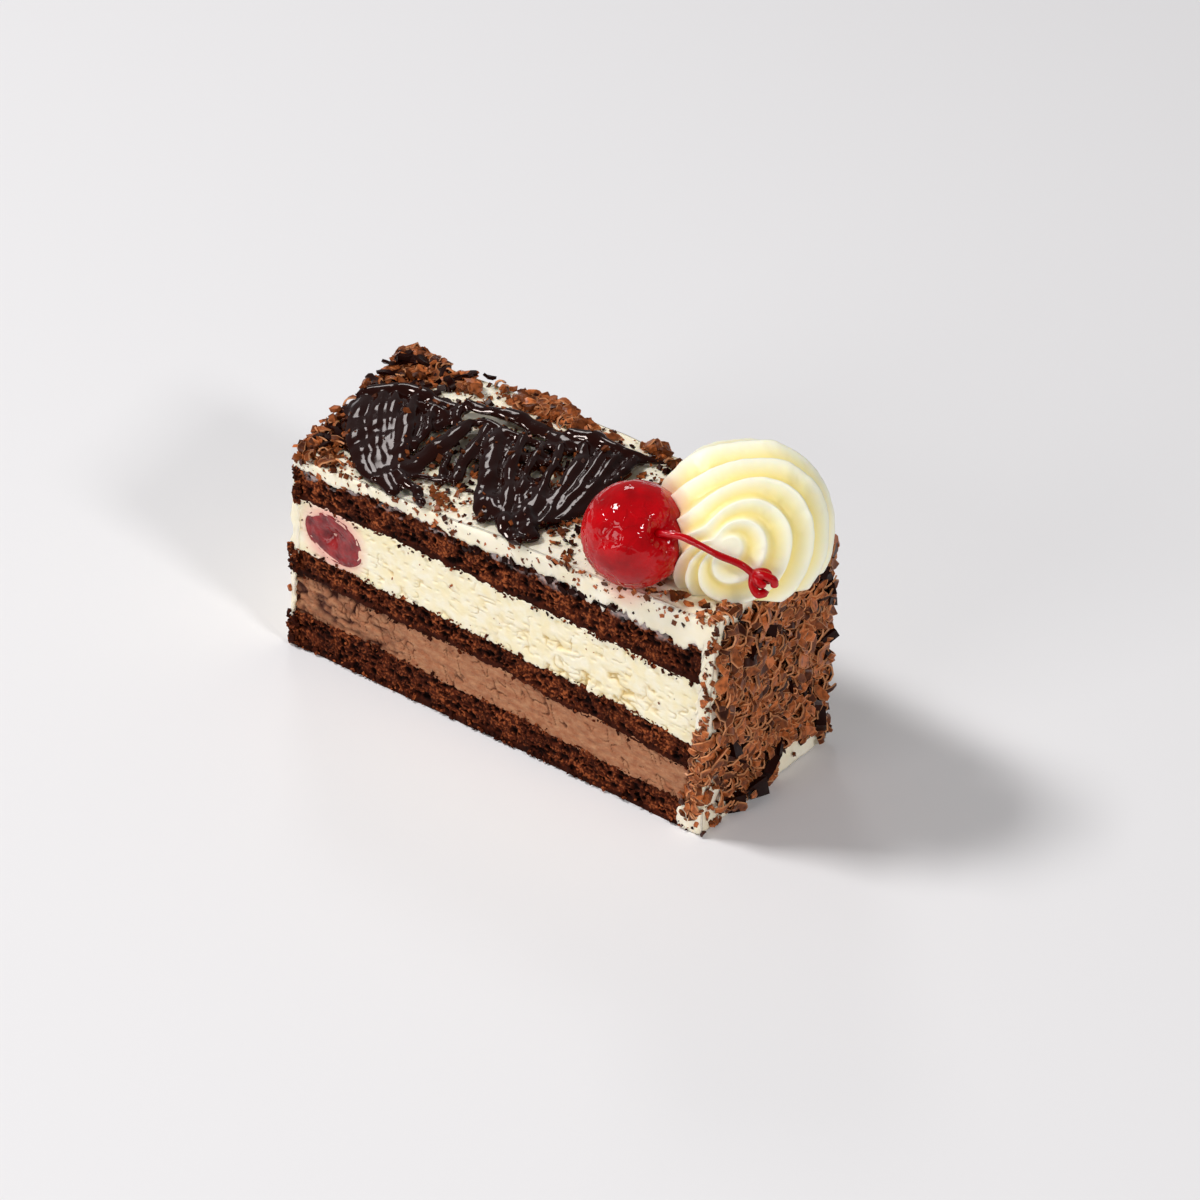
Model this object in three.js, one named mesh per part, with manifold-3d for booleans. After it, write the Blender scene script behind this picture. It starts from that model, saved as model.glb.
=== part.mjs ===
// A slice of black forest cake: three chocolate sponges with a cream and a chocolate mousse
// layer between them, an icing coat over the top and both ends that is strewn with chocolate
// shavings, a lace of dark chocolate, a piped cream rosette and a candied cherry on its stem.
//
// Millimetres, +Z up. +X runs along the slice to the end with the rosette, -Y is the cut face
// with the cherry piece in its cream. The origin is the middle of the flat underside.

import * as THREE from 'three';
import { mergeVertices } from 'three/addons/utils/BufferGeometryUtils.js';
import Module from 'manifold-3d';

const wasm = await Module();
wasm.setup();

// ---- driving dimensions ---------------------------------------------------------------------

const LENGTH = 115;
const FRONT_Y = -24.2; // the cut face is flat and square to Y
const WIDTH_LEFT = 50.5;
const WIDTH_RIGHT = 45.5;
const BACK_BOW = 2.2; // the back bulges by this much in the middle
const LEAN = 0.085; // the front leans towards +X by this share of the height, the back doesn't
const SLANT = 7; // the plain end is cut at a slant and reaches this much further at the back
const GAP = 0.3; // between neighbouring pieces
const END_COAT = 3.0; // thickness of the icing on both ends
const FOOT_CLEARANCE = 0.35; // the icing ends this far above the table

// Surfaces between the layers. Height at the middle, rise towards the rosette end, bow at both
// ends and size of the ripple left by spreading.
const LEVELS = {
  spongeBottomTop: { middle: 8.9, rise: -1.6, bow: -1.0, ripple: 0.3, turn: 0.4 },
  mousseTop: { middle: 18.9, rise: -2.3, bow: -1.6, ripple: 0.45, turn: 1.9 },
  spongeMiddleTop: { middle: 25.3, rise: -2.3, bow: -0.7, ripple: 0.4, turn: 3.1 },
  creamTop: { middle: 39.2, rise: -1.4, bow: -0.5, ripple: 0.4, turn: 4.6 },
  spongeTopTop: { middle: 48.3, rise: -0.7, bow: -0.9, ripple: 0.75, turn: 5.3 },
  icingTop: { middle: 52.4, rise: 1.8, bow: -0.1, ripple: 0.25, turn: 0.9 },
};

const ROSETTE = {
  center: [51.8, -1.7, 61.0],
  radius: 18.2,
  above: 18.8, // height over the center
  below: 15.0,
  squareness: 2.3, // 2 would be a plain ellipsoid
  ridges: 6.5, // turns of the spiral from its eye to the far side
  ridgeDepth: 1.9,
  eye: [0.25, -0.86, 0.44], // the way the middle of the swirl looks
  shoulder: [-0.93, 0.33, -0.15], // a fold bulges out on this side
  shoulderSize: 2.6,
};

const CHERRY = {
  center: [37.8, -20.0, 64.0],
  radius: 11.2,
  squat: 0.98, // height along the stem axis against the width
  dimpleDepth: 2.2,
  dimpleSpread: 0.27, // rad
  axis: [0.859, -0.226, 0.463],
};

const STEM = {
  radius: 0.75,
  route: [[43.6, -21.7, 67.2], [46.4, -22.2, 68.5], [50.6, -21.4, 69.0], [54.9, -20.7, 68.2],
    [58.9, -19.9, 67.1], [62.8, -18.0, 65.6], [65.3, -16.4, 63.2]],
  petals: 6, // curled ends of the frayed tip
  petalLength: 4.6,
  petalRadius: 0.72,
};

const CHERRY_PIECE = { center: [-42.6, FRONT_Y + 1.2, 33.4], size: [8.4, 9.5, 5.9], tilt: 0.22 };

const CHIPS = {
  endShavings: 61, // on the end with the rosette
  endChunks: 9,
  leftShavings: 9,
  backHeap: 24, // piled along the back edge of the top
  leftHeap: 16, // and along its plain end
  topCrumbs: 14,
  heapHeight: 2.6,
};

// The chocolate lace, as [x, y] on the top of the cake: a raised rim along the back and the
// strands that run from it to the front edge. Widths are at the start and at the tip.
const LACE_THICKNESS = 1.9;
const LACE_CLEARANCE = 0.5; // between the icing and the ends of the strands
const LACE = [
  { route: [[-58.5, 8.0], [-49.0, 12.5], [-38.5, 12.5], [-28.5, 13.5]], widths: [5.0, 3.8], rise: 1.0 },
  { route: [[-30.5, 11.0], [-20.0, 13.5], [-9.0, 16.0], [2.5, 18.5]], widths: [6.5, 5.5], rise: 1.1 },
  { route: [[0.0, 17.0], [8.0, 17.5], [16.5, 21.5]], widths: [6.5, 1.2], rise: 1.3 },
  { route: [[-55.5, 8.0], [-48.0, -4.5], [-38.5, -15.0], [-28.0, -23.0]], widths: [9.0, 5.0], rise: 0.8 },
  { route: [[-48.5, 7.0], [-39.5, -7.0], [-30.0, -16.5], [-19.5, -25.0]], widths: [6.0, 2.8], rise: 0.9 },
  { route: [[-53.0, -2.5], [-42.5, -13.0], [-31.0, -20.5], [-20.5, -24.6]], widths: [4.5, 3.2], rise: 0.5 },
  { route: [[-27.5, 6.0], [-28.5, -5.0], [-30.0, -14.5]], widths: [5.4, 4.2], rise: 1.0 },
  { route: [[-29.0, -12.0], [-22.5, -18.0], [-16.0, -24.0]], widths: [3.0, 1.6], rise: 0.4 },
  { route: [[-43.5, 11.5], [-39.5, 3.0], [-35.0, -2.5], [-29.0, -4.5]], widths: [2.4, 2.2], rise: 0.5 },
  { route: [[-39.0, 11.5], [-33.0, 7.5], [-27.5, 3.5]], widths: [2.6, 3.0], rise: 0.6 },
  { route: [[-47.5, 8.5], [-43.0, 2.0], [-39.0, -5.5]], widths: [2.6, 2.2], rise: 0.4 },
  { route: [[-30.5, 12.5], [-27.0, 6.5], [-23.0, -2.5], [-17.0, -12.0]], widths: [5.0, 2.4], rise: 0.9 },
  { route: [[-24.5, -4.0], [-20.0, -11.5], [-14.5, -18.0]], widths: [2.4, 1.6], rise: 0.3 },
  { route: [[-22.5, 11.5], [-17.0, 1.0], [-9.0, -10.5], [-0.5, -21.0]], widths: [4.4, 3.4], rise: 1.0 },
  { route: [[-16.0, 13.0], [-9.5, -1.0], [-2.0, -13.0], [10.5, -25.0]], widths: [3.6, 4.4], rise: 1.0 },
  { route: [[-9.5, 15.0], [-4.0, 0.5], [0.0, -11.0], [4.5, -18.5]], widths: [3.6, 3.4], rise: 0.9 },
  { route: [[-0.5, 16.0], [3.5, 2.0], [6.5, -10.0], [10.5, -24.5]], widths: [5.6, 4.8], rise: 1.0 },
  { route: [[7.5, 16.0], [8.5, 2.5], [10.5, -8.0], [9.5, -18.0]], widths: [4.6, 3.4], rise: 0.8 },
  { route: [[-13.5, 7.0], [-4.5, 6.5], [2.0, 5.5]], widths: [2.0, 2.0], rise: 0.5 },
  { route: [[-20.5, 6.5], [-13.5, 2.5], [-8.0, -2.5]], widths: [1.8, 1.8], rise: 0.4 },
  { route: [[-6.0, -5.5], [0.5, -6.5], [6.5, -6.0]], widths: [2.0, 2.0], rise: 0.4 },
];

const COLORS = {
  sponge: 0x3b1c11,
  mousse: 0x8a5f49,
  cream: 0xf0e6bf,
  icing: 0xf4eddb,
  darkChocolate: 0x231412,
  rosette: 0xf8eebf,
  cherry: 0xa5061c,
  cherryPiece: 0x8e3238,
};

// ---- helpers --------------------------------------------------------------------------------

const mix = THREE.MathUtils.lerp;
const smooth = THREE.MathUtils.smoothstep;

// A seeded random source: each call gives a number from 0 to 1.
function seededRandom(seed) {
  let state = seed >>> 0;
  return () => {
    state = (state + 0x6d2b79f5) >>> 0;
    let value = Math.imul(state ^ (state >>> 15), 1 | state);
    value = (value + Math.imul(value ^ (value >>> 7), 61 | value)) ^ value;
    return ((value ^ (value >>> 14)) >>> 0) / 4294967296;
  };
}

function widthAt(along) {
  const share = along / LENGTH + 0.5;
  return mix(WIDTH_LEFT, WIDTH_RIGHT, share) + 4 * BACK_BOW * share * (1 - share);
}

// Height of the surface between two layers. along is in mm from the middle, across runs from 0
// at the front cut to 1 at the back one. Both cut faces have a ripple of their own.
function levelHeight(level, along, across) {
  const share = along / (LENGTH / 2);
  const ripple = (turn) => level.ripple
    * (Math.sin(along / 7.1 + turn) + 0.6 * Math.sin(along / 3.3 + 2.3 * turn)) / 1.6;
  const base = level.middle + level.rise * share + level.bow * share * share;
  return base + mix(ripple(level.turn), ripple(level.turn + 2.0), across);
}

// From slice coordinates to the slice as it stands, leaning and narrower at the rosette end.
function place(along, across, height) {
  const lean = LEAN * height * (1 - across);
  const slant = SLANT * across * (0.5 - along / LENGTH);
  return new THREE.Vector3(along + lean - slant, FRONT_Y + across * widthAt(along), height);
}

// The height of the icing at a point of the slice as it stands.
function icingHeight(x, y) {
  const across = (y - FRONT_Y) / widthAt(x);
  const unleant = x - LEAN * LEVELS.icingTop.middle * (1 - across);
  const along = (unleant + SLANT * across / 2) / (1 + SLANT * across / LENGTH);
  return levelHeight(LEVELS.icingTop, along, across);
}

// A closed box of nu x nv x nw cells whose skin points come from pointAt(u, v, w), each 0 to 1.
function gridBox(nu, nv, nw, pointAt) {
  const positions = [];
  const indices = [];
  const known = new Map();
  const vertex = (i, j, k) => {
    const key = (i * (nv + 1) + j) * (nw + 1) + k;
    if (!known.has(key)) {
      known.set(key, positions.length / 3);
      positions.push(...pointAt(i / nu, j / nv, k / nw).toArray());
    }
    return known.get(key);
  };
  const quad = (a, b, c, d) => indices.push(a, b, c, a, c, d);
  for (let i = 0; i < nu; i += 1) {
    for (let j = 0; j < nv; j += 1) {
      quad(vertex(i, j, 0), vertex(i, j + 1, 0), vertex(i + 1, j + 1, 0), vertex(i + 1, j, 0));
      quad(vertex(i, j, nw), vertex(i + 1, j, nw), vertex(i + 1, j + 1, nw), vertex(i, j + 1, nw));
    }
    for (let k = 0; k < nw; k += 1) {
      quad(vertex(i, 0, k), vertex(i + 1, 0, k), vertex(i + 1, 0, k + 1), vertex(i, 0, k + 1));
      quad(vertex(i, nv, k), vertex(i, nv, k + 1), vertex(i + 1, nv, k + 1), vertex(i + 1, nv, k));
    }
  }
  for (let j = 0; j < nv; j += 1) {
    for (let k = 0; k < nw; k += 1) {
      quad(vertex(0, j, k), vertex(0, j, k + 1), vertex(0, j + 1, k + 1), vertex(0, j + 1, k));
      quad(vertex(nu, j, k), vertex(nu, j + 1, k), vertex(nu, j + 1, k + 1), vertex(nu, j, k + 1));
    }
  }
  return indexed(positions, indices);
}

function indexed(positions, indices) {
  const geometry = new THREE.BufferGeometry();
  geometry.setAttribute('position', new THREE.Float32BufferAttribute(positions, 3));
  geometry.setIndex(indices);
  return geometry;
}

function toSolid(geometry) {
  const plain = geometry.clone();
  plain.deleteAttribute('normal');
  plain.deleteAttribute('uv');
  const merged = mergeVertices(plain, 1e-4);
  return new wasm.Manifold(new wasm.Mesh({
    numProp: 3,
    vertProperties: new Float32Array(merged.attributes.position.array),
    triVerts: new Uint32Array(merged.index.array),
  }));
}

// The largest body of a solid, so that loose scraps and sealed bubbles are dropped.
function toGeometry(solid) {
  const bodies = solid.decompose().sort((a, b) => b.volume() - a.volume());
  const mesh = bodies[0].getMesh();
  return indexed(Array.from(mesh.vertProperties), Array.from(mesh.triVerts));
}

const join = (first, others) => others.reduce((sum, other) => sum.add(other), first);

function named(name, geometry, color, roughness) {
  const material = new THREE.MeshStandardMaterial({ color, roughness, metalness: 0 });
  const mesh = new THREE.Mesh(geometry, material);
  mesh.name = name;
  return mesh;
}

// ---- the layers -----------------------------------------------------------------------------

const LAYER_CELLS = [24, 1, 3];

// A layer between two surfaces, running through the slice from one cut face to the other. Its
// cut faces are torn back by up to the given depth.
function layer(lower, upper, tear, seed) {
  const random = seededRandom(seed);
  const tears = Array.from({ length: 512 }, () => tear * random() ** 2);
  const reach = LENGTH / 2 - END_COAT - GAP / 2;
  return gridBox(...LAYER_CELLS, (u, v, w) => {
    const along = mix(-reach, reach, u);
    const bottom = lower ? levelHeight(lower, along, v) + GAP / 2 : 0;
    const top = levelHeight(upper, along, v) - GAP / 2;
    const point = place(along, v, mix(bottom, top, w));
    const cell = Math.round(u * LAYER_CELLS[0]) * 4 + Math.round(w * LAYER_CELLS[2]);
    const inwards = v === 0 ? 1 : -1;
    if (v === 0 || v === 1) {
      point.y += inwards * tears[cell + (v === 1 ? 200 : 0)];
    }
    return point;
  });
}

// The half cherry that the cut has gone through, in the cream near the plain end.
function cherryPiece(grow) {
  const geometry = new THREE.SphereGeometry(1, 16, 10);
  geometry.scale(...CHERRY_PIECE.size.map((size) => size + grow));
  geometry.rotateY(CHERRY_PIECE.tilt);
  geometry.translate(...CHERRY_PIECE.center);
  return toSolid(geometry);
}

// A block in front of the cut face, which trims what reaches through it.
function frontTrim() {
  const depth = 40;
  const geometry = new THREE.BoxGeometry(2 * LENGTH, depth, 2 * LENGTH);
  geometry.translate(0, FRONT_Y + 0.05 - depth / 2, 0);
  return toSolid(geometry);
}

// ---- the icing coat and its shavings --------------------------------------------------------

// The coat's section along the slice, as pairs of an inner and an outer point [along, level or
// height], up one end, over the top and down the other end.
function coatStations(sideCells, topCells) {
  const outer = LENGTH / 2;
  const inner = LENGTH / 2 - END_COAT + GAP / 2;
  const stations = [];
  for (let i = 0; i < sideCells; i += 1) {
    stations.push({ side: -1, rise: i / sideCells, outer: -outer, inner: -inner });
  }
  for (let i = 0; i <= topCells; i += 1) {
    const share = i / topCells;
    stations.push({ side: 0, rise: 1, outer: mix(-outer, outer, share), inner: mix(-inner, inner, share) });
  }
  for (let i = sideCells - 1; i >= 0; i -= 1) {
    stations.push({ side: 1, rise: i / sideCells, outer, inner });
  }
  return stations;
}

function coat() {
  const cellsAcross = 4;
  const stations = coatStations(5, LAYER_CELLS[0]);
  return gridBox(stations.length - 1, cellsAcross, 1, (u, v, w) => {
    const station = stations[Math.round(u * (stations.length - 1))];
    const along = w === 1 ? station.outer : station.inner;
    const level = w === 1 ? LEVELS.icingTop : LEVELS.spongeTopTop;
    const top = levelHeight(level, along, v) + (w === 1 ? 0 : GAP / 2);
    const height = mix(FOOT_CLEARANCE, top, station.rise);
    // The coat swells a little towards the table on the rosette end.
    const swell = w === 1 && station.side === 1 ? 1.2 * (1 - smooth(height, 0, 14)) : 0;
    return place(along + swell, v, height);
  });
}

// A curled shaving, lying in its own XY plane with its hollow side down.
function shaving(length, width, thickness, bend) {
  const radius = length / bend;
  return gridBox(2, 1, 1, (u, v, w) => {
    const turn = (u - 0.5) * bend;
    const reach = radius + (w - 0.5) * thickness;
    return new THREE.Vector3(reach * Math.sin(turn), (v - 0.5) * width, reach * Math.cos(turn) - radius);
  });
}

// A broken crumb of chocolate: a block whose corners are pushed out of square.
function crumb(size, random) {
  const pushed = () => size * (random() - 0.5) * 0.35;
  return gridBox(1, 1, 1, (u, v, w) => new THREE.Vector3(
    (u - 0.5) * size + pushed(),
    (v - 0.5) * size * 0.8 + pushed(),
    (w - 0.5) * size * 0.6 + pushed(),
  ));
}

// Lays a chip on a surface: turned about the surface normal, tipped, and moved to its place.
function lay(geometry, point, normal, turn, tip) {
  const spin = new THREE.Quaternion().setFromEuler(new THREE.Euler(tip, tip * 0.6, turn));
  const face = new THREE.Quaternion().setFromUnitVectors(new THREE.Vector3(0, 0, 1), normal);
  const pose = new THREE.Matrix4().compose(point, face.multiply(spin), new THREE.Vector3(1, 1, 1));
  return toSolid(geometry.applyMatrix4(pose));
}

// Points spread over a unit square without clumps: each new one is the best of a few tries.
function spread(count, random, accept) {
  const points = [];
  for (let guard = 0; points.length < count && guard < 40 * count; guard += 1) {
    let best = null;
    for (let tries = 0; tries < 6; tries += 1) {
      const candidate = [random(), random()];
      const nearest = Math.min(...points.map((p) => Math.hypot(p[0] - candidate[0], p[1] - candidate[1])), 9);
      if (accept(candidate) && (!best || nearest > best.nearest)) {
        best = { nearest, candidate };
      }
    }
    if (best) points.push(best.candidate);
  }
  return points;
}

// Chips on an end of the slice. side is 1 for the rosette end and -1 for the plain one.
function endChips(side, count, seed, makeChip, reach) {
  const random = seededRandom(seed);
  const normal = new THREE.Vector3(side, 0, -side * LEAN).normalize();
  return spread(count, random, () => true).map(([across, up]) => {
    const height = mix(reach[0], reach[1], up);
    const point = place(side * LENGTH / 2, mix(0.05, 0.95, across), height);
    return lay(makeChip(random), point.addScaledVector(normal, 0.35), normal,
      2 * Math.PI * random(), 0.7 * (random() - 0.5));
  });
}

// Distance from a point of the top to the nearest strand of the lace, less its half width.
function distanceToLace(x, y) {
  let nearest = Infinity;
  for (const strand of LACE) {
    for (const { point, halfWidth } of strandStations(strand, 24)) {
      nearest = Math.min(nearest, Math.hypot(point.x - x, point.y - y) - halfWidth);
    }
  }
  return nearest;
}

const footprintGap = (center, radius, x, y) => Math.hypot(x - center[0], y - center[1]) - radius;

// Chips on the top of the cake within a range [from, to] of its length and one of its width.
// They keep clear of the lace, the rosette and the cherry, and pile up to the given height.
function topChips(count, seed, { lengthwise, crosswise, pile, size, makeChip }) {
  const random = seededRandom(seed);
  const normal = new THREE.Vector3(0, 0, 1);
  const spot = ([share, across]) => place(
    mix(-LENGTH / 2, LENGTH / 2, mix(...lengthwise, share)),
    mix(...crosswise, across),
    LEVELS.icingTop.middle,
  );
  const accept = (candidate) => {
    const { x, y } = spot(candidate);
    return distanceToLace(x, y) > size
      && footprintGap(ROSETTE.center, ROSETTE.radius + ROSETTE.shoulderSize, x, y) > size
      && footprintGap(CHERRY.center, 0.8 * CHERRY.radius, x, y) > size;
  };
  return spread(count, random, accept).map((candidate) => {
    const point = spot(candidate);
    point.z = icingHeight(point.x, point.y) + 0.15 + pile * random();
    return lay(makeChip(random), point, normal, 2 * Math.PI * random(), 0.9 * (random() - 0.5));
  });
}

function icingWithChips() {
  const flake = (random) => {
    const [length, width] = [mix(4.2, 8.0, random()), mix(2.6, 5.0, random())];
    return shaving(length, width, 0.9, mix(0.5, 2.0, random()));
  };
  const chunk = (random) => crumb(mix(4.4, 6.0, random()), random);
  const small = (random) => crumb(mix(2.4, 3.8, random()), random);
  const lump = (random) => crumb(mix(3.6, 5.4, random()), random);
  const plain = { size: 2.1, makeChip: small, pile: 0 };
  const heap = { size: 3.4, makeChip: lump };
  return join(toSolid(coat()), [
    ...endChips(1, CHIPS.endShavings, 11, flake, [4.5, 50.5]),
    ...endChips(1, CHIPS.endChunks, 12, chunk, [5.0, 48.0]),
    ...endChips(-1, CHIPS.leftShavings, 13, small, [4.0, 49.0]),
    ...topChips(CHIPS.backHeap, 14, {
      lengthwise: [-0.02, 0.72], crosswise: [0.9, 1.0], pile: 0.5 * CHIPS.heapHeight, ...heap,
    }),
    ...topChips(CHIPS.leftHeap, 15, {
      lengthwise: [-0.005, 0.06], crosswise: [0.05, 1.0], pile: 0.4 * CHIPS.heapHeight, ...heap,
    }),
    ...topChips(CHIPS.topCrumbs, 16, { ...plain, lengthwise: [0.06, 0.98], crosswise: [0.04, 0.9] }),
  ]);
}

// ---- the lace -------------------------------------------------------------------------------

// Points along a strand with its half width there: full in the middle and rounded at both tips.
function strandStations(strand, count) {
  const curve = new THREE.CatmullRomCurve3(strand.route.map(([x, y]) => new THREE.Vector3(x, y, 0)));
  return Array.from({ length: count + 1 }, (_, i) => {
    const share = i / count;
    const endRound = Math.min(1, 0.45 + 3.2 * Math.min(share, 1 - share));
    return {
      share,
      point: curve.getPointAt(share),
      tangent: curve.getTangentAt(share),
      halfWidth: 0.5 * endRound * mix(...strand.widths, share),
    };
  });
}

// The section of a strand as [sideways, up], in half widths and thicknesses.
const STRAND_SECTION = [[0.8, 0], [1, 0.45], [0, 1], [-1, 0.45], [-0.8, 0]];

// One strand that lies on the icing, with a bridge of the given rise in its middle.
function strandSolid(strand) {
  const stations = strandStations(strand, 5);
  const positions = [];
  const indices = [];
  const sides = STRAND_SECTION.length;
  for (const { point, tangent, halfWidth, share } of stations) {
    const side = new THREE.Vector3(tangent.y, -tangent.x, 0).normalize();
    const lift = LACE_CLEARANCE + strand.rise * Math.sin(Math.PI * Math.min(1, 0.25 + share));
    for (const [sideways, up] of STRAND_SECTION) {
      const x = point.x + side.x * sideways * halfWidth;
      const y = point.y + side.y * sideways * halfWidth;
      positions.push(x, y, icingHeight(x, y) + lift + up * LACE_THICKNESS);
    }
  }
  for (let i = 0; i + 1 < stations.length; i += 1) {
    for (let j = 0; j < sides; j += 1) {
      const a = i * sides + j;
      const b = i * sides + (j + 1) % sides;
      indices.push(a, a + sides, b, b, a + sides, b + sides);
    }
  }
  const last = (stations.length - 1) * sides;
  for (let j = 1; j + 1 < sides; j += 1) {
    indices.push(0, j, j + 1, last, last + j + 1, last + j);
  }
  return toSolid(indexed(positions, indices));
}

// ---- the rosette ----------------------------------------------------------------------------

// Distance from the rosette's center to its smooth outline, the way the unit vector points.
function rosetteReach(way) {
  const flat = Math.hypot(way.x, way.y) / ROSETTE.radius;
  const tall = Math.abs(way.z) / (way.z > 0 ? ROSETTE.above : ROSETTE.below);
  const round = (flat ** ROSETTE.squareness + tall ** ROSETTE.squareness) ** (-1 / ROSETTE.squareness);
  const off = way.angleTo(new THREE.Vector3(...ROSETTE.shoulder).normalize());
  return round + ROSETTE.shoulderSize * Math.exp(-((off / 0.6) ** 2));
}

// The piped swirl: rows of points wind out from the eye as one spiral, four rows to a ridge.
function rosetteSolid() {
  const rowsPerRidge = 4;
  const spokes = 24;
  const rowAngle = Math.PI / (ROSETTE.ridges * rowsPerRidge);
  const rows = Math.ceil(Math.PI / rowAngle) + 2 * rowsPerRidge;
  const eye = new THREE.Vector3(...ROSETTE.eye).normalize();
  const turnToEye = new THREE.Quaternion().setFromUnitVectors(new THREE.Vector3(0, 0, 1), eye);
  const positions = [];
  const indices = [];
  const known = new Map();
  const vertex = (row, spoke) => {
    if (spoke === spokes) return vertex(row + rowsPerRidge, 0);
    const polar = (row - rowsPerRidge + rowsPerRidge * spoke / spokes) * rowAngle;
    const clamped = Math.min(Math.PI, Math.max(0, polar));
    const key = clamped === polar ? `${row},${spoke}` : `pole${clamped}`;
    if (!known.has(key)) {
      known.set(key, positions.length / 3);
      const azimuth = 2 * Math.PI * spoke / spokes;
      const way = new THREE.Vector3(Math.sin(clamped) * Math.cos(azimuth),
        Math.sin(clamped) * Math.sin(azimuth), Math.cos(clamped)).applyQuaternion(turnToEye);
      const groove = (0.5 + 0.5 * Math.cos(2 * Math.PI * row / rowsPerRidge)) * ROSETTE.ridgeDepth;
      const reach = rosetteReach(way) - groove * smooth(clamped, 0, 0.35);
      positions.push(...way.multiplyScalar(reach).add(new THREE.Vector3(...ROSETTE.center)).toArray());
    }
    return known.get(key);
  };
  const triangle = (a, b, c) => {
    if (a !== b && b !== c && c !== a) indices.push(a, b, c);
  };
  for (let row = 0; row < rows; row += 1) {
    for (let spoke = 0; spoke < spokes; spoke += 1) {
      const a = vertex(row, spoke);
      const b = vertex(row + 1, spoke);
      const c = vertex(row + 1, spoke + 1);
      const d = vertex(row, spoke + 1);
      triangle(a, b, c);
      triangle(a, c, d);
    }
  }
  return toSolid(indexed(positions, indices));
}

// What lies below the top of the icing, raised by the gap, to cut the rosette's foot.
function tableOfIcing() {
  return toSolid(gridBox(30, 5, 1, (u, v, w) => {
    const along = mix(-LENGTH / 2, 0.75 * LENGTH, u);
    const across = mix(-0.4, 1.4, v);
    return place(along, across, w === 0 ? 0 : levelHeight(LEVELS.icingTop, along, across) + GAP);
  }));
}

// ---- the cherry -----------------------------------------------------------------------------

// The fruit: a squat ball of revolution with a dimple where the stem grows.
function fruitSolid(grow) {
  const steps = 12;
  const profile = Array.from({ length: steps + 1 }, (_, i) => {
    const polar = Math.PI * i / steps;
    const dimple = CHERRY.dimpleDepth * Math.exp(-((polar / CHERRY.dimpleSpread) ** 2));
    const reach = CHERRY.radius + grow - dimple;
    const radius = i === 0 || i === steps ? 0 : reach * Math.sin(polar);
    return new THREE.Vector2(radius, CHERRY.squat * reach * Math.cos(polar));
  }).reverse();
  const geometry = new THREE.LatheGeometry(profile, 20);
  const axis = new THREE.Vector3(...CHERRY.axis).normalize();
  geometry.applyQuaternion(new THREE.Quaternion().setFromUnitVectors(new THREE.Vector3(0, 1, 0), axis));
  geometry.translate(...CHERRY.center);
  return toSolid(geometry);
}

// A tube of six sides along a curve through the points.
function tube(points, radius, steps) {
  const section = new THREE.Shape();
  section.absarc(0, 0, radius, 0, 2 * Math.PI, false);
  const curve = new THREE.CatmullRomCurve3(points);
  const options = { steps, bevelEnabled: false, extrudePath: curve, curveSegments: 3 };
  return toSolid(new THREE.ExtrudeGeometry(section, options));
}

// The stem and its frayed tip, where short curls stand out round the end like petals.
function stemSolid(grow) {
  const route = STEM.route.map((point) => new THREE.Vector3(...point));
  const tip = route[route.length - 1];
  const onwards = tip.clone().sub(route[route.length - 2]).normalize();
  const aside = new THREE.Vector3(0, 0, 1).cross(onwards).normalize();
  const upwards = onwards.clone().cross(aside);
  const petals = Array.from({ length: STEM.petals }, (_, i) => {
    const turn = 2 * Math.PI * i / STEM.petals;
    const out = aside.clone().multiplyScalar(Math.cos(turn)).addScaledVector(upwards, Math.sin(turn));
    const reach = STEM.petalLength * (0.8 + 0.25 * Math.sin(3.7 * i));
    return tube([
      tip.clone().addScaledVector(onwards, -0.6),
      tip.clone().addScaledVector(out, 0.42 * reach).addScaledVector(onwards, 0.15 * reach),
      tip.clone().addScaledVector(out, 0.62 * reach).addScaledVector(onwards, 0.62 * reach),
      tip.clone().addScaledVector(out, 0.36 * reach).addScaledVector(onwards, 0.9 * reach),
    ], STEM.petalRadius + grow, 3);
  });
  return join(tube(route, STEM.radius + grow, 12), petals);
}

// ---- the slice ------------------------------------------------------------------------------

const pocketWall = GAP;
const fruit = fruitSolid(0);
const fruitRoom = fruitSolid(GAP);
const trim = frontTrim();
const creamSolid = toSolid(layer(LEVELS.spongeMiddleTop, LEVELS.creamTop, 0.35, 4));
const laceStrands = LACE.map(strandSolid);
const rosette = rosetteSolid().subtract(tableOfIcing()).subtract(fruitRoom).subtract(stemSolid(GAP));

const slice = new THREE.Group();
slice.add(
  named('sponge_bottom', layer(null, LEVELS.spongeBottomTop, 0.6, 1), COLORS.sponge, 0.95),
  named('mousse_layer', layer(LEVELS.spongeBottomTop, LEVELS.mousseTop, 0.4, 2), COLORS.mousse, 0.8),
  named('sponge_middle', layer(LEVELS.mousseTop, LEVELS.spongeMiddleTop, 0.6, 3), COLORS.sponge, 0.95),
  named('cream_layer', toGeometry(creamSolid.subtract(cherryPiece(pocketWall))), COLORS.cream, 0.7),
  named('cherry_in_cream', toGeometry(cherryPiece(0).subtract(trim)), COLORS.cherryPiece, 0.35),
  named('sponge_top', layer(LEVELS.creamTop, LEVELS.spongeTopTop, 0.6, 5), COLORS.sponge, 0.95),
  named('icing_coat', toGeometry(icingWithChips().subtract(fruitRoom)), COLORS.icing, 0.6),
  named('chocolate_lace', toGeometry(join(laceStrands[0], laceStrands.slice(1))), COLORS.darkChocolate, 0.25),
  named('cream_rosette', toGeometry(rosette), COLORS.rosette, 0.5),
  named('cherry', toGeometry(fruit.add(stemSolid(0))), COLORS.cherry, 0.15),
);

export default slice;
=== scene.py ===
"""The looks of a black forest cake slice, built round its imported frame.

Shapes are worked out in millimetres in the frame's own axes: +X runs along the slice to the end
with the rosette, -Y is the cut face that shows, +Z is up and the origin is the middle of the
underside. They become metres when a mesh is made.
"""

import itertools
import math

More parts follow.
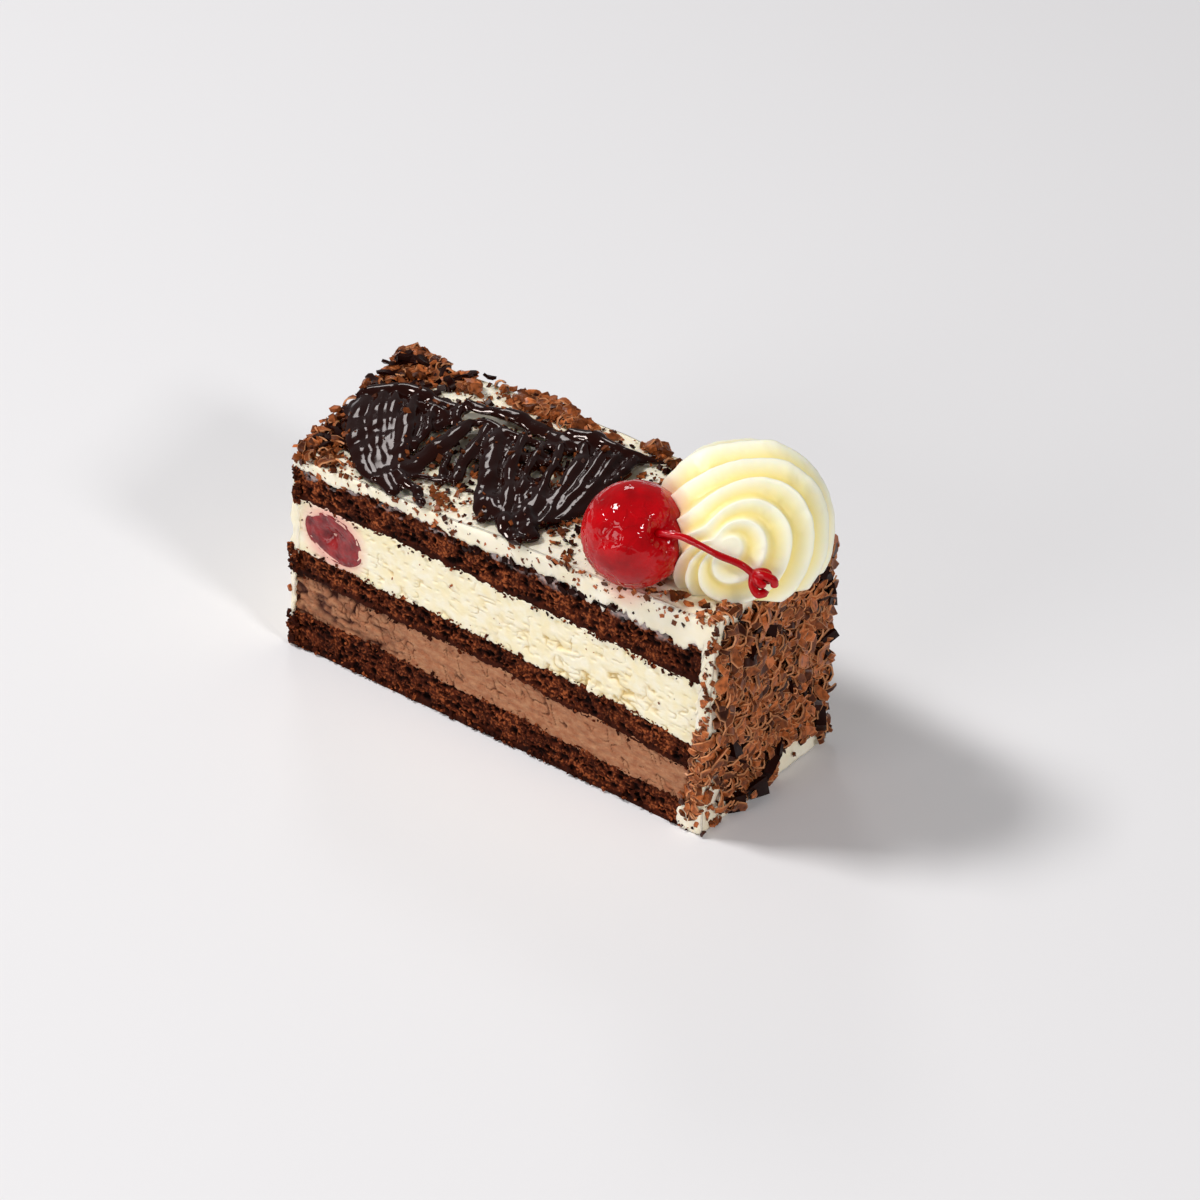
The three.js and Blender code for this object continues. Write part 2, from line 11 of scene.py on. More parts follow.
import bpy
import numpy as np
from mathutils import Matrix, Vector


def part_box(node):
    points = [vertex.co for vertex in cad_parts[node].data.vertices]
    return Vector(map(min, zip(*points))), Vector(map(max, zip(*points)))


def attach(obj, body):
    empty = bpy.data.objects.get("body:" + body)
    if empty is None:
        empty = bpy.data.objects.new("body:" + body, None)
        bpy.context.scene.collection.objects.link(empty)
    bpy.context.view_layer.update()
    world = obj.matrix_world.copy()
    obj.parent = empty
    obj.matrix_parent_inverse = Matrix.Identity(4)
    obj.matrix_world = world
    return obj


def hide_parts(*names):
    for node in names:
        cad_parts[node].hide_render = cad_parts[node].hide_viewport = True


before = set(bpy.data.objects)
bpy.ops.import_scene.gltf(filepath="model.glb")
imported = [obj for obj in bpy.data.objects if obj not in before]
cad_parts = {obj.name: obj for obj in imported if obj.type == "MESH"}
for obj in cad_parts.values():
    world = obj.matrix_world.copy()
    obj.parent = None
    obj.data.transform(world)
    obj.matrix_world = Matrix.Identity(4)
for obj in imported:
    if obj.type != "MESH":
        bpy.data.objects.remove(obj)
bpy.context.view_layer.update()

bl_info = {
    "name": "Black forest cake slice",
    "version": (1, 0, 0),
    "blender": (4, 5, 0),
    "location": "View3D > Sidebar > Cake slice",
    "description": "Builds the layers, the toppings and the stage of a black forest cake slice",
    "category": "Add Mesh",
}

MM = 0.001


def box_mm(node):
    """Lowest and highest corner of a CAD node, in millimetres."""
    low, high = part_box(node)
    return np.array(low) / MM, np.array(high) / MM


# ---- the slice's form -----------------------------------------------------------------------

FRONT_Y = box_mm("cream_layer")[0][1]  # the cut face
LENGTH = 115.0
END_COAT = 3.0  # thickness of the icing on the ends
REACH = LENGTH / 2 - END_COAT  # half the length between the end coats
UNDER_COAT = 1.5  # how far the layers run on behind the thin parts of the rosette end's coat
UNDER_PLAIN = 2.3  # the same at the plain end
FOOT_SWELL = 1.3  # the coat of the rosette end is thicker by this at its foot
FOOT_SHARE = 0.28  # and by nothing above this share of its height
END_HEIGHT = 52.0  # height up to which the ends are strewn
COAT_HEIGHT = 53.0  # about the height of the coat of the rosette end
SINK = 0.4  # how far the lace and the rosette reach into the icing
GAP = 0.3  # between the table and the foot of the icing
CHIP_GAP = 0.35  # between the table and the lowest chips
WIDTH_LEFT = 50.5
WIDTH_RIGHT = 45.5
NOMINAL = 50.0  # about the width and the height, for noise that only needs their scale
BACK_BOW = 2.2  # the back bulges by this much in the middle
LEAN = 0.085  # the front leans towards +X by this share of the height, the back doesn't
SLANT = 7.0  # the plain end is cut at a slant and reaches this much further at the back

# Surfaces between the layers: height in the middle, rise towards +X, bow at both ends, and the
# size and phase of the ripple left by spreading.
LEVELS = {
    "table": (0.0, 0.0, 0.0, 0.0, 0.0),
    "sponge_bottom": (8.9, -1.6, -1.0, 0.3, 0.4),
    "mousse_layer": (18.9, -2.3, -1.6, 0.45, 1.9),
    "sponge_middle": (25.3, -2.3, -0.7, 0.4, 3.1),
    "cream_layer": (39.2, -1.4, -0.5, 0.4, 4.6),
    "sponge_top": (48.3, -0.7, -0.9, 0.75, 5.3),
    "icing_coat": (52.4, 1.8, -0.1, 0.25, 0.9),
}

# The whole cherry and the way its stem leaves it, and the cut cherry in the cream: half sizes
# along the slice, into it and upwards, and its tilt in radians.
CHERRY_CENTER = np.array([37.8, -20.0, 64.0])
CHERRY_RADIUS = 11.2
CHERRY_AXIS = np.array([0.859, -0.226, 0.463])
PIECE_CENTER = np.array([-42.6, FRONT_Y + 1.2, 33.4])
PIECE_SIZE = np.array([8.4, 9.5, 5.9])
PIECE_TILT = 0.22

ROSETTE_CENTER = np.array([51.8, -1.7, 61.0])
ROSETTE_RADIUS = 18.2
ROSETTE_ABOVE = 18.8  # from its center to its top
ROSETTE_BELOW = 15.0  # from its center to its foot, if it weren't cut off by the icing
ROSETTE_SQUARENESS = 2.3  # 2 is an ellipsoid, more is a squarer form
ROSETTE_SHOULDER = np.array([-0.93, 0.33, -0.15])  # towards a bulge of its outline
SHOULDER_SIZE = 2.6  # height of that bulge
ROSETTE_TURNS = 9  # ridges from the eye to the far side
ROSETTE_STARTS = 3  # ridges that wind side by side
ROSETTE_SEAM = math.radians(60)  # where the grid of the ridges meets itself
ROSETTE_GATHER = math.radians(145)  # the side, by the cherry, where the ridges come together
RIDGE_EYE = np.array([0.346, -0.873, 0.342])  # towards the point that the ridges wind round
RIDGE_SKEW = 0.64  # below 1 moves the bottom of the grooves towards the eye
RIDGE_CUT = 0.93  # ridges are cut off at this share of their height

# The stem's middle line, from the cherry to its frayed tip.
STEM_ROUTE = [
    (43.6, -21.7, 67.2),
    (46.4, -22.2, 68.5),
    (50.6, -21.4, 69.0),
    (54.9, -20.7, 68.2),
    (58.9, -19.9, 67.1),
    (62.8, -18.0, 65.6),
    (65.3, -16.4, 63.2),
]
STEM_RADIUS = 0.75
STEM_VOXEL = 0.14
PETALS = 6  # curled ends of the frayed tip
PETAL_LENGTH = 4.3
PETAL_RADIUS = 0.86

FILLET = 0.45  # size of the fillets where strands of the lace meet
LACE_VOXEL = 0.29
LACE_SEED = 71
THREADS = 34  # threads drawn between strands, of which those of a fitting length are kept
RINGS = 22  # small loops that leave round holes

# The chocolate lace as strands on the top of the cake: [x, y] route, widths at both ends, rise.
LACE = [
    # the plain end's lobe: its back rim and the broad strands that run to its tip
    ([(-58.0, 4.0), (-53.5, 9.5), (-47.5, 11.5), (-41.0, 11.0), (-34.0, 12.5)], (5.0, 3.2), 1.0),
    ([(-56.5, 3.0), (-49.5, -8.0), (-39.5, -17.0), (-30.5, -22.5)], (4.8, 4.4), 0.7),
    ([(-54.0, 6.0), (-46.5, -5.0), (-36.5, -15.0), (-23.5, -24.5)], (4.0, 5.0), 0.9),
    ([(-51.5, 8.0), (-44.0, -3.0), (-35.5, -12.0), (-29.5, -18.0)], (3.0, 4.4), 0.8),
    ([(-46.5, 9.0), (-39.5, -3.0), (-33.5, -11.5), (-29.0, -17.5)], (3.2, 4.0), 1.0),
    ([(-29.5, 8.0), (-28.0, -2.0), (-28.0, -10.5), (-29.0, -18.0)], (4.0, 5.4), 1.1),
    ([(-28.5, -18.0), (-23.5, -20.0), (-19.5, -22.0), (-16.0, -24.5)], (2.8, 2.6), 0.5),
    ([(-42.5, 11.5), (-38.5, 4.5), (-35.0, -2.5), (-32.5, -8.0)], (2.2, 1.8), 0.7),
    ([(-45.5, 6.5), (-40.5, 8.0), (-36.0, 6.0), (-34.5, 1.5)], (1.8, 1.6), 0.8),
    ([(-36.0, 12.0), (-33.0, 7.0), (-29.0, 3.5)], (2.2, 2.4), 0.6),
    # the back rim in the middle, and the fingers that hang from it
    ([(-36.0, 13.0), (-28.5, 13.5), (-21.5, 14.5), (-14.0, 14.5), (-5.5, 17.0)], (3.6, 4.6), 1.2),
    ([(-30.0, 7.5), (-24.5, 9.0), (-18.0, 8.0), (-11.0, 9.5), (-4.0, 11.0)], (2.6, 2.0), 0.8),
    ([(-26.0, 8.0), (-21.5, -2.0), (-18.0, -9.5), (-16.0, -14.5)], (3.0, 2.8), 0.9),
    ([(-26.0, -4.5), (-21.5, -11.0), (-18.0, -15.5)], (1.8, 1.6), 0.4),
    ([(-22.5, 9.0), (-15.0, -3.5), (-8.5, -12.0), (-1.0, -22.5)], (4.2, 4.0), 1.0),
    ([(-19.0, 9.0), (-13.5, -2.0), (-9.5, -8.5)], (1.6, 1.6), 0.6),
    ([(-16.5, 11.0), (-11.0, 0.0), (-4.5, -9.0), (3.5, -22.0)], (2.6, 3.6), 1.0),
    ([(-11.5, 11.0), (-5.5, -1.0), (-1.5, -9.0), (3.0, -17.0)], (1.8, 2.2), 0.8),
    ([(-7.5, 12.0), (-2.5, 2.5), (1.0, -5.5), (5.0, -15.0)], (2.2, 2.6), 0.8),
    # the tip by the cherry: the pointed back rim and the broad strands that run to its lobe
    ([(-9.5, 16.0), (-3.5, 17.5), (3.0, 17.0), (9.5, 18.0), (15.5, 21.0)], (4.8, 1.0), 1.3),
    ([(-3.0, 15.0), (2.0, 4.5), (6.0, -6.0), (9.5, -16.5)], (2.8, 3.6), 1.0),
    ([(2.0, 15.5), (6.0, 5.0), (8.5, -4.5), (11.0, -15.0)], (2.6, 3.2), 0.9),
    ([(5.5, 15.5), (9.0, 5.0), (11.0, -4.0), (12.5, -13.0)], (2.4, 2.8), 0.9),
    ([(9.5, 16.5), (12.0, 7.5), (13.0, -1.0)], (2.6, 2.0), 0.8),
    ([(2.0, -19.0), (6.5, -22.5), (11.0, -24.5)], (3.2, 4.2), 0.5),
    ([(4.5, -15.0), (9.0, -19.0), (11.5, -22.0)], (3.6, 3.6), 0.6),
    ([(-6.0, -4.0), (0.5, -5.5), (6.5, -4.5)], (1.4, 1.6), 0.5),
    ([(-13.0, 4.0), (-6.5, 3.5), (1.5, 4.5)], (1.4, 1.5), 0.5),
    ([(-21.0, 2.5), (-14.5, 1.0), (-9.0, -3.0)], (1.4, 1.5), 0.5),
]

# Thin sheets of chocolate that fill the lace's two lobes and its pointed end.
SHEETS = [
    ([(-54.5, 4.0), (-46.5, -6.0), (-38.0, -14.5), (-30.0, -21.0)], (8.0, 7.5)),
    ([(-50.0, 7.5), (-41.5, 1.0), (-36.0, -9.0), (-29.0, -19.5)], (5.0, 6.0)),
    ([(-28.5, -4.0), (-28.5, -12.0), (-28.0, -19.0)], (5.0, 6.0)),
    ([(-8.0, -13.0), (1.5, -19.0), (8.5, -22.5)], (3.0, 4.5)),
    ([(3.0, -9.0), (6.5, -15.0), (8.0, -20.5)], (6.5, 7.0)),
    ([(6.0, 14.0), (9.0, 4.0), (10.5, -6.0), (9.5, -15.0)], (5.0, 7.0)),
    ([(-12.0, 14.5), (-3.5, 14.5), (4.0, 14.5), (11.0, 17.0)], (5.5, 3.0)),
    ([(-57.0, 1.0), (-52.0, -6.0), (-44.0, -13.0), (-34.0, -19.5)], (5.0, 6.0)),
    ([(-1.0, -2.0), (3.0, -11.0), (5.5, -20.0)], (3.5, 6.0)),
    ([(-21.0, 8.0), (-14.5, -3.5), (-7.0, -13.0)], (3.0, 4.0)),
    ([(8.5, 8.0), (11.5, 0.0), (12.0, -10.0)], (4.0, 5.0)),
]

# Dark chunks on the rosette end: share of its width from the front, and height.
CHUNK_SPOTS = [
    (0.34, 45.2),
    (0.44, 42.5),
    (0.3, 41.5),
    (0.84, 46.8),
    (0.9, 44.0),
    (0.97, 40.3),
    (0.98, 35.9),
    (0.95, 23.4),
    (0.98, 27.0),
    (0.9, 7.5),
    (0.2, 17.3),
    (0.45, 4.8),
    (0.39, 3.4),
    (0.25, 3.2),
    (0.5, 6.5),
    (0.58, 8.0),
]

# Seeds of the random draws of the chips, and the angle at which their edges look sharp.
CHIP_SEED = 5
SPONGE_CRUMB_SEED = 29
LACE_CRUMB_SEED = 17
CHIP_SHARP = 35  # in degrees

# The stage. Each light has its name, its place and side in metres, and watts. All face one point.
LIGHTS = (
    ("key", (-1.04, -0.52, 1.64), 0.45, 27.0),
    ("fill", (-0.2, -1.9, 0.7), 0.8, 10.4),
    ("side", (1.7, -0.4, 1.1), 0.32, 15.0),
    ("back", (-1.2, 1.2, 1.2), 0.4, 3.5),
)
LIT_POINT = (0.0, 0.0, 0.03)
SURROUND_COLOR = (0.93, 0.94, 0.96, 1.0)
SURROUND_STRENGTH = 0.18
FLOOR_HALF = 4000.0  # half the side of the floor, in millimetres
CAMERA_TURN = math.radians(38.62)  # from the cut face towards the rosette end
CAMERA_TILT = math.radians(33.0)  # downwards
CAMERA_TARGET = (0.01008, 0.00334, 0.025)  # in metres
SENSOR_WIDTH = 36.0


def mix(start, end, share):
    """The value that lies the given share of the way from start to end."""
    return start + (end - start) * share


def ease(value, low, high):
    """0 below low, 1 above high, and the cubic 3t^2 - 2t^3 between them."""
    share = np.clip((value - low) / (high - low), 0.0, 1.0)
    return share * share * (3.0 - 2.0 * share)


def falloff(value, width):
    """1 where the value is 0 and 0 beyond a width, in a straight line between them."""
    return np.clip(1.0 - value / width, 0.0, 1.0)


def unit(vectors):
    """Vectors of length 1 in the same directions."""
    return vectors / np.linalg.norm(vectors, axis=-1, keepdims=True)


def width_at(along):
    """Width of the slice: an even fall from the plain end to the rosette end, and a parabola
    for the bulge of the back."""
    share = along / LENGTH + 0.5
    return mix(WIDTH_LEFT, WIDTH_RIGHT, share) + 4 * BACK_BOW * share * (1 - share)


def level_height(level, along, across):
    """A parabola along the slice, plus a ripple of two sines that differs at the two cuts."""
    middle, rise, bow, ripple, turn = LEVELS[level]
    share = along / (LENGTH / 2)

    def wave(phase):
        """The ripple at one cut."""
        sines = np.sin(along / 7.1 + phase) + 0.6 * np.sin(along / 3.3 + 2.3 * phase)
        return ripple * sines / 1.6

    return middle + rise * share + bow * share**2 + mix(wave(turn), wave(turn + 2.0), across)


def place(along, across, height):
    """Slice coordinates to points: sheared by the lean at the front and by the slant towards
    the back of the plain end, and tapered in width."""
    slant = SLANT * across * (0.5 - along / LENGTH)
    x = along + LEAN * height * (1.0 - across) - slant
    return np.stack([x, FRONT_Y + across * width_at(along), height], axis=-1)


def icing_height(x, y):
    """Height of the top of the icing at points of the slice as it stands."""
    across = (y - FRONT_Y) / width_at(x)
    unleant = x - LEAN * LEVELS["icing_coat"][0] * (1.0 - across)
    along = (unleant + SLANT * across / 2) / (1 + SLANT * across / LENGTH)
    return level_height("icing_coat", along, across)


# ---- noise ----------------------------------------------------------------------------------


def scrambled(cells, seed):
    """A number from 0 to 1 for each whole-number cell, from multiplied and folded integers."""
    mixed = cells[..., 0] * 374761393 + cells[..., 1] * 668265263
    mixed = (mixed + cells[..., 2] * 1440662683 + seed * 974634777) & 0xFFFFFFFF
    mixed = ((mixed ^ (mixed >> 13)) * 1274126177) & 0xFFFFFFFF
    return ((mixed ^ (mixed >> 16)) & 0xFFFFFF) / float(0x1000000)


def bumps(points, size, seed):
    """Value noise from -1 to 1: random cell corners blended by a cubic ramp in each axis."""
    scaled = points / size
    base = np.floor(scaled).astype(np.int64)
    ramp = scaled - base
    ramp = ramp * ramp * (3.0 - 2.0 * ramp)
    total = np.zeros(len(points))
    for corner in itertools.product((0, 1), repeat=3):
        weight = np.prod(np.where(np.array(corner) == 1, ramp, 1.0 - ramp), axis=-1)
        total += weight * scrambled(base + np.array(corner), seed)
    return 2.0 * total - 1.0


def shifts(points, size, seed):
    """Three value noises as one vector for each point."""
    return np.stack([bumps(points, size, seed + k) for k in range(3)], axis=-1)


def rough(points, size, seed, octaves=3):
    """A sum of value noises, each half the size and half the height of the one before."""
    parts = [0.5**k * bumps(points, size * 0.5**k, seed + 17 * k) for k in range(octaves)]
    return np.sum(parts, axis=0)


def seed_distances(points, size, seed):
    """Distance, in cells, to the nearest and second nearest of one random seed a cell."""
    scaled = points / size
    base = np.floor(scaled).astype(np.int64)
    near = np.full(len(points), 9.0)
    second = np.full(len(points), 9.0)
    for step in itertools.product((-1, 0, 1), repeat=3):
        cell = base + np.array(step)
        spot = cell + np.stack([scrambled(cell, seed + k) for k in range(3)], axis=-1)
        gap = np.linalg.norm(spot - scaled, axis=-1)
        second = np.minimum(second, np.maximum(near, gap))
        near = np.minimum(near, gap)
    return near, second


# ---- meshes ---------------------------------------------------------------------------------


def grid_quads(number, flip=False):
    """Quads between the neighbours of a grid of point numbers, turned over if flip is set."""
    corners = [number[:-1, :-1], number[1:, :-1], number[1:, 1:], number[:-1, 1:]]
    if flip:
        corners.reverse()
    return np.stack(corners, axis=-1).reshape(-1, 4)


def lattice_skin(nu, nv, nw):
    """Skin of a box lattice: u, v, w of its points, each 0 to 1, and its quads facing out."""
    skin = np.zeros((nu + 1, nv + 1, nw + 1), bool)
    skin[[0, -1]] = True
    skin[:, [0, -1]] = True
    skin[:, :, [0, -1]] = True
    number = np.full(skin.shape, -1)
    number[skin] = np.arange(skin.sum())
    u, v, w = (part / count for part, count in zip(np.nonzero(skin), (nu, nv, nw)))
    quads = []
    for axis in range(3):
        for side, flip in ((0, True), (-1, False)):
            sheet = np.take(number, side, axis=axis)
            quads.append(grid_quads(sheet, flip != (axis == 1)))
    return u, v, w, np.concatenate(quads)


def cube_skin(count):
    """Points of a cube's skin from -1 to 1 with count cells a side, and its quads facing out."""
    u, v, w, quads = lattice_skin(count, count, count)
    return np.stack([u, v, w], axis=-1) * 2.0 - 1.0, quads


def halved(quads):
    """Two triangles for each quad."""
    return np.concatenate([quads[:, [0, 1, 2]], quads[:, [0, 2, 3]]])


def make_piece(name, points, faces, material, slot=None, nodes=(), attributes=None, sharp=None):
    """One object at the origin from points in millimetres and arrays of faces. Edges that turn
    by more than the sharp angle, in degrees, are shaded sharp."""
    mesh = bpy.data.meshes.new(name)
    mesh.vertices.add(len(points))
    mesh.vertices.foreach_set("co", (points * MM).astype(np.float32).ravel())
    parts = faces if isinstance(faces, list) else [faces]
    loops = np.concatenate([part.ravel() for part in parts]).astype(np.int32)
    sizes = np.concatenate([np.full(len(part), part.shape[1]) for part in parts])
    mesh.loops.add(len(loops))
    mesh.loops.foreach_set("vertex_index", loops)
    mesh.polygons.add(len(sizes))
    starts = np.concatenate([[0], np.cumsum(sizes)[:-1]]).astype(np.int32)
    mesh.polygons.foreach_set("loop_start", starts)
    mesh.polygons.foreach_set("use_smooth", np.ones(len(sizes), bool))
    mesh.update(calc_edges=True)
    mesh.validate()
    if sharp is not None:
        mesh.set_sharp_from_angle(angle=math.radians(sharp))
    for key, values in (attributes or {}).items():
        layer = mesh.attributes.new(key, "FLOAT", "POINT")
        layer.data.foreach_set("value", np.asarray(values, np.float32))
    mesh.materials.append(material)
    piece = bpy.data.objects.new(name, mesh)
    bpy.context.scene.collection.objects.link(piece)
    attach(piece, "root")
    if nodes:
        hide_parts(*nodes)
    return piece


def mesh_arrays(mesh):
    """Points in millimetres and triangles of a mesh."""
    mesh.calc_loop_triangles()
    points = np.empty(len(mesh.vertices) * 3, np.float32)
    mesh.vertices.foreach_get("co", points)
    triangles = np.empty(len(mesh.loop_triangles) * 3, np.int32)
    mesh.loop_triangles.foreach_get("vertices", triangles)
    return points.reshape(-1, 3).astype(float) / MM, triangles.reshape(-1, 3)


def welded(points, faces, limit=1e-3):
    """Points closer than the limit made one, with faces that collapse removed."""
    _, first, number = np.unique(
        np.round(points / limit).astype(np.int64), axis=0, return_index=True, return_inverse=True
    )
    triangles = faces
    if faces.shape[1] == 4:
        triangles = halved(faces)
    triangles = number.reshape(-1)[triangles]
    a, b, c = triangles.T
    return points[first], triangles[(a != b) & (b != c) & (c != a)]


def fused(points, faces, voxel, rounds):
    """Crossing bodies made one skin: the Remesh modifier at a voxel size, then smoothed."""
    mesh = bpy.data.meshes.new("fusing")
    mesh.from_pydata((points * MM).tolist(), [], faces.tolist())
    body = bpy.data.objects.new("fusing", mesh)
    bpy.context.scene.collection.objects.link(body)
    remesh = body.modifiers.new("Remesh", "REMESH")
    remesh.mode = "VOXEL"
    remesh.voxel_size = voxel * MM
    soften = body.modifiers.new("Smooth", "SMOOTH")
    soften.factor = 0.5
    soften.iterations = rounds
    finished = body.evaluated_get(bpy.context.evaluated_depsgraph_get())
    result = mesh_arrays(finished.to_mesh())
    finished.to_mesh_clear()
    bpy.data.objects.remove(body)
    bpy.data.meshes.remove(mesh)
    return result


def normals_of(points, triangles):
    """Unit normals at the points: the sum of the face normals round each, by area."""
    a, b, c = (points[triangles[:, k]] for k in range(3))
    faces = np.cross(b - a, c - a)
    total = np.zeros_like(points)
    for k in range(3):
        np.add.at(total, triangles[:, k], faces)
    return total / np.maximum(np.linalg.norm(total, axis=1, keepdims=True), 1e-12)


def curve_points(route, count):
    """A Catmull-Rom curve through the route at evenly spaced parameters, ends included."""
    route = np.asarray(route, float)
    padded = np.vstack([2 * route[0] - route[1], route, 2 * route[-1] - route[-2]])
    at = np.linspace(0, len(route) - 1, count)
    piece = np.minimum(at.astype(int), len(route) - 2)
    t = (at - piece)[:, None]
    p0, p1, p2, p3 = (padded[piece + k] for k in range(4))
    return 0.5 * (
        2 * p1 + (p2 - p0) * t + (2 * p0 - 5 * p1 + 4 * p2 - p3) * t**2
        + (3 * p1 - p0 - 3 * p2 + p3) * t**3
    )


def tube(path, radii, sides, upright=(0.0, 0.0, 1.0)):
    """A closed tube along a path: a ring of the given radius at each point, pointed caps.

    The ring's first axis is square to the path and to the upright vector, its second is square
    to both.
    """
    along = unit(np.gradient(path, axis=0))
    aside = unit(np.cross(along, upright))
    above = np.cross(aside, along)
    turn = np.linspace(0, 2 * np.pi, sides, endpoint=False)
    radii = np.asarray(radii, float)[:, None, None]
    ring = aside[:, None] * np.cos(turn)[None, :, None]
    ring = ring + above[:, None] * np.sin(turn)[None, :, None]
    points = (path[:, None] + radii * ring).reshape(-1, 3)
    count = len(path)
    start, step = np.meshgrid(np.arange(count - 1), np.arange(sides), indexing="ij")
    a = start * sides + step
    b = start * sides + (step + 1) % sides
    quads = np.stack([a, b, b + sides, a + sides], axis=-1).reshape(-1, 4)
    ends = np.vstack([path[0] - along[0] * radii[0, 0], path[-1] + along[-1] * radii[-1, 0]])
    points = np.vstack([points, ends])
    first = np.arange(sides)
    last = first + (count - 1) * sides
    tip = count * sides
    cap = np.stack([np.full(sides, tip), np.roll(first, -1), first], axis=-1)
    end_cap = np.stack([np.full(sides, tip + 1), last, np.roll(last, -1)], axis=-1)
    return points, np.concatenate([halved(quads), cap, end_cap])


def joined(bodies):
    """Several (points, triangles) pairs as one."""
    starts = np.cumsum([0] + [len(points) for points, _ in bodies])
    points = np.concatenate([points for points, _ in bodies])
    return points, np.concatenate([faces + start for (_, faces), start in zip(bodies, starts)])


# ---- materials ------------------------------------------------------------------------------


def linear(code):
    """An sRGB hex colour as linear red, green and blue."""
    channels = np.array([int(code[i : i + 2], 16) for i in (1, 3, 5)]) / 255.0
    low = channels / 12.92
    high = ((channels + 0.055) / 1.055) ** 2.4
    return tuple(float(value) for value in np.where(channels <= 0.04045, low, high))


def add_node(tree, kind, links=None, **settings):
    """Adds a node: settings named by socket are set there, others are the node's own."""
    node = tree.nodes.new(kind)
    for key, value in settings.items():
        if key in node.bl_rna.properties:
            setattr(node, key, value)
        else:
            socket = node.inputs[key.replace("_", " ")]
            if socket.type == "RGBA" and len(value) == 3:
                value = (*value, 1.0)
            socket.default_value = value
    for target, source in (links or {}).items():
        tree.links.new(source, node.inputs[target])
    return node


def new_finish(name, **settings):
    """A material with its Principled shader set, and the tree and shader to build on."""
    material = bpy.data.materials.new(name)
    material.use_nodes = True
    tree = material.node_tree
    shader = tree.nodes["Principled BSDF"]
    for key, value in settings.items():
        socket = shader.inputs[key.replace("_", " ")]
        if socket.type == "RGBA":
            value = (*value, 1.0)
        socket.default_value = value
    return material, tree, shader


def noise_value(tree, size, detail=3.0, stretch=(1.0, 1.0, 1.0)):
    """Noise on Object coordinates whose features are about size millimetres, 0 to 1."""
    where = add_node(tree, "ShaderNodeTexCoord").outputs["Object"]
    turned = add_node(tree, "ShaderNodeMapping", {"Vector": where}, Scale=stretch)
    noise = add_node(
        tree, "ShaderNodeTexNoise", {"Vector": turned.outputs[0]},
        Scale=1.0 / (size * MM), Detail=detail,
    )
    return noise.outputs["Fac"]


def attribute_value(tree, name):
    """The value of a piece's own attribute."""
    return add_node(tree, "ShaderNodeAttribute", attribute_name=name).outputs["Fac"]


def remapped(tree, value, low, high, to_low=0.0, to_high=1.0):
    """The value stretched from low..high to to_low..to_high, held at both ends."""
    node = add_node(tree, "ShaderNodeMapRange", {"Value": value})
    keys = ("From Min", "From Max", "To Min", "To Max")
    for key, number in zip(keys, (low, high, to_low, to_high)):
        node.inputs[key].default_value = number
    return node.outputs["Result"]


def blended(tree, share, first, second):
    """Two colours, or a colour and a socket, mixed by a share."""
    node = tree.nodes.new("ShaderNodeMix")
    node.data_type = "RGBA"
    color_sockets = [socket for socket in node.inputs if socket.type == "RGBA"]
    tree.links.new(share, node.inputs["Factor"])
    for socket, value in zip(color_sockets, (first, second)):
        if isinstance(value, bpy.types.NodeSocket):
            tree.links.new(value, socket)
        else:
            socket.default_value = (*value, 1.0)
    return next(socket for socket in node.outputs if socket.type == "RGBA")


def near_point(tree, center, inner, outer):
    """1 within inner millimetres of a point and 0 beyond outer."""
    where = add_node(tree, "ShaderNodeTexCoord").outputs["Object"]
    gap = add_node(tree, "ShaderNodeVectorMath", {0: where}, operation="DISTANCE")
    gap.inputs[1].default_value = tuple(float(value) * MM for value in center)
    return remapped(tree, gap.outputs["Value"], inner * MM, outer * MM, 1.0, 0.0)


def with_bump(tree, shader, height, distance, strength=1.0):
    """Bump on a shader from a 0 to 1 height that stands for distance millimetres."""
    bump = add_node(
        tree, "ShaderNodeBump", {"Height": height}, Strength=strength, Distance=distance * MM
    )
    tree.links.new(bump.outputs[0], shader.inputs["Normal"])


def chocolate_sponge(colors):
    """Baked cocoa sponge, cut with a knife: dull torn crumb with painted shade, near black, down
    in its pores and a painted highlight, reddish, where its thin proud edges would catch the
    light, with smears of icing dragged over its upper edge."""
    material, tree, shader = new_finish("chocolate_sponge", Roughness=0.75, Specular_IOR_Level=0.08)
    patches = remapped(tree, noise_value(tree, 3.0), 0.3, 0.7)
    base = blended(tree, patches, colors.sponge_mid, colors.sponge_light)
    # Painted shade: the further the crumb lies back, the nearer it comes to the dark pore colour.
    # The same relief also carries the darker baked skin at the foot, which is the sponge's own
    # colour.
    lumps = remapped(tree, attribute_value(tree, "relief"), 0.3, 0.95)
    tinted = blended(tree, lumps, base, colors.sponge_dark_and_pore_shade)
    # Painted highlight: proud crumb, broken by a fine speckle, takes the light reddish edge colour.
    proud = remapped(tree, attribute_value(tree, "relief"), 0.5, 0.2)
    speckle = remapped(tree, noise_value(tree, 0.7, 2.0), 0.45, 0.62)
    edges = add_node(tree, "ShaderNodeMath", {0: proud, 1: speckle}, operation="MULTIPLY")
    lit = blended(tree, edges.outputs[0], tinted, colors.sponge_edge_highlight)
    smears = remapped(tree, attribute_value(tree, "smear"), 0.1, 0.9, 0.0, 0.6)
    tree.links.new(blended(tree, smears, lit, colors.smear), shader.inputs["Base Color"])
    with_bump(tree, shader, noise_value(tree, 0.35, 3.0), 0.12)
    return material


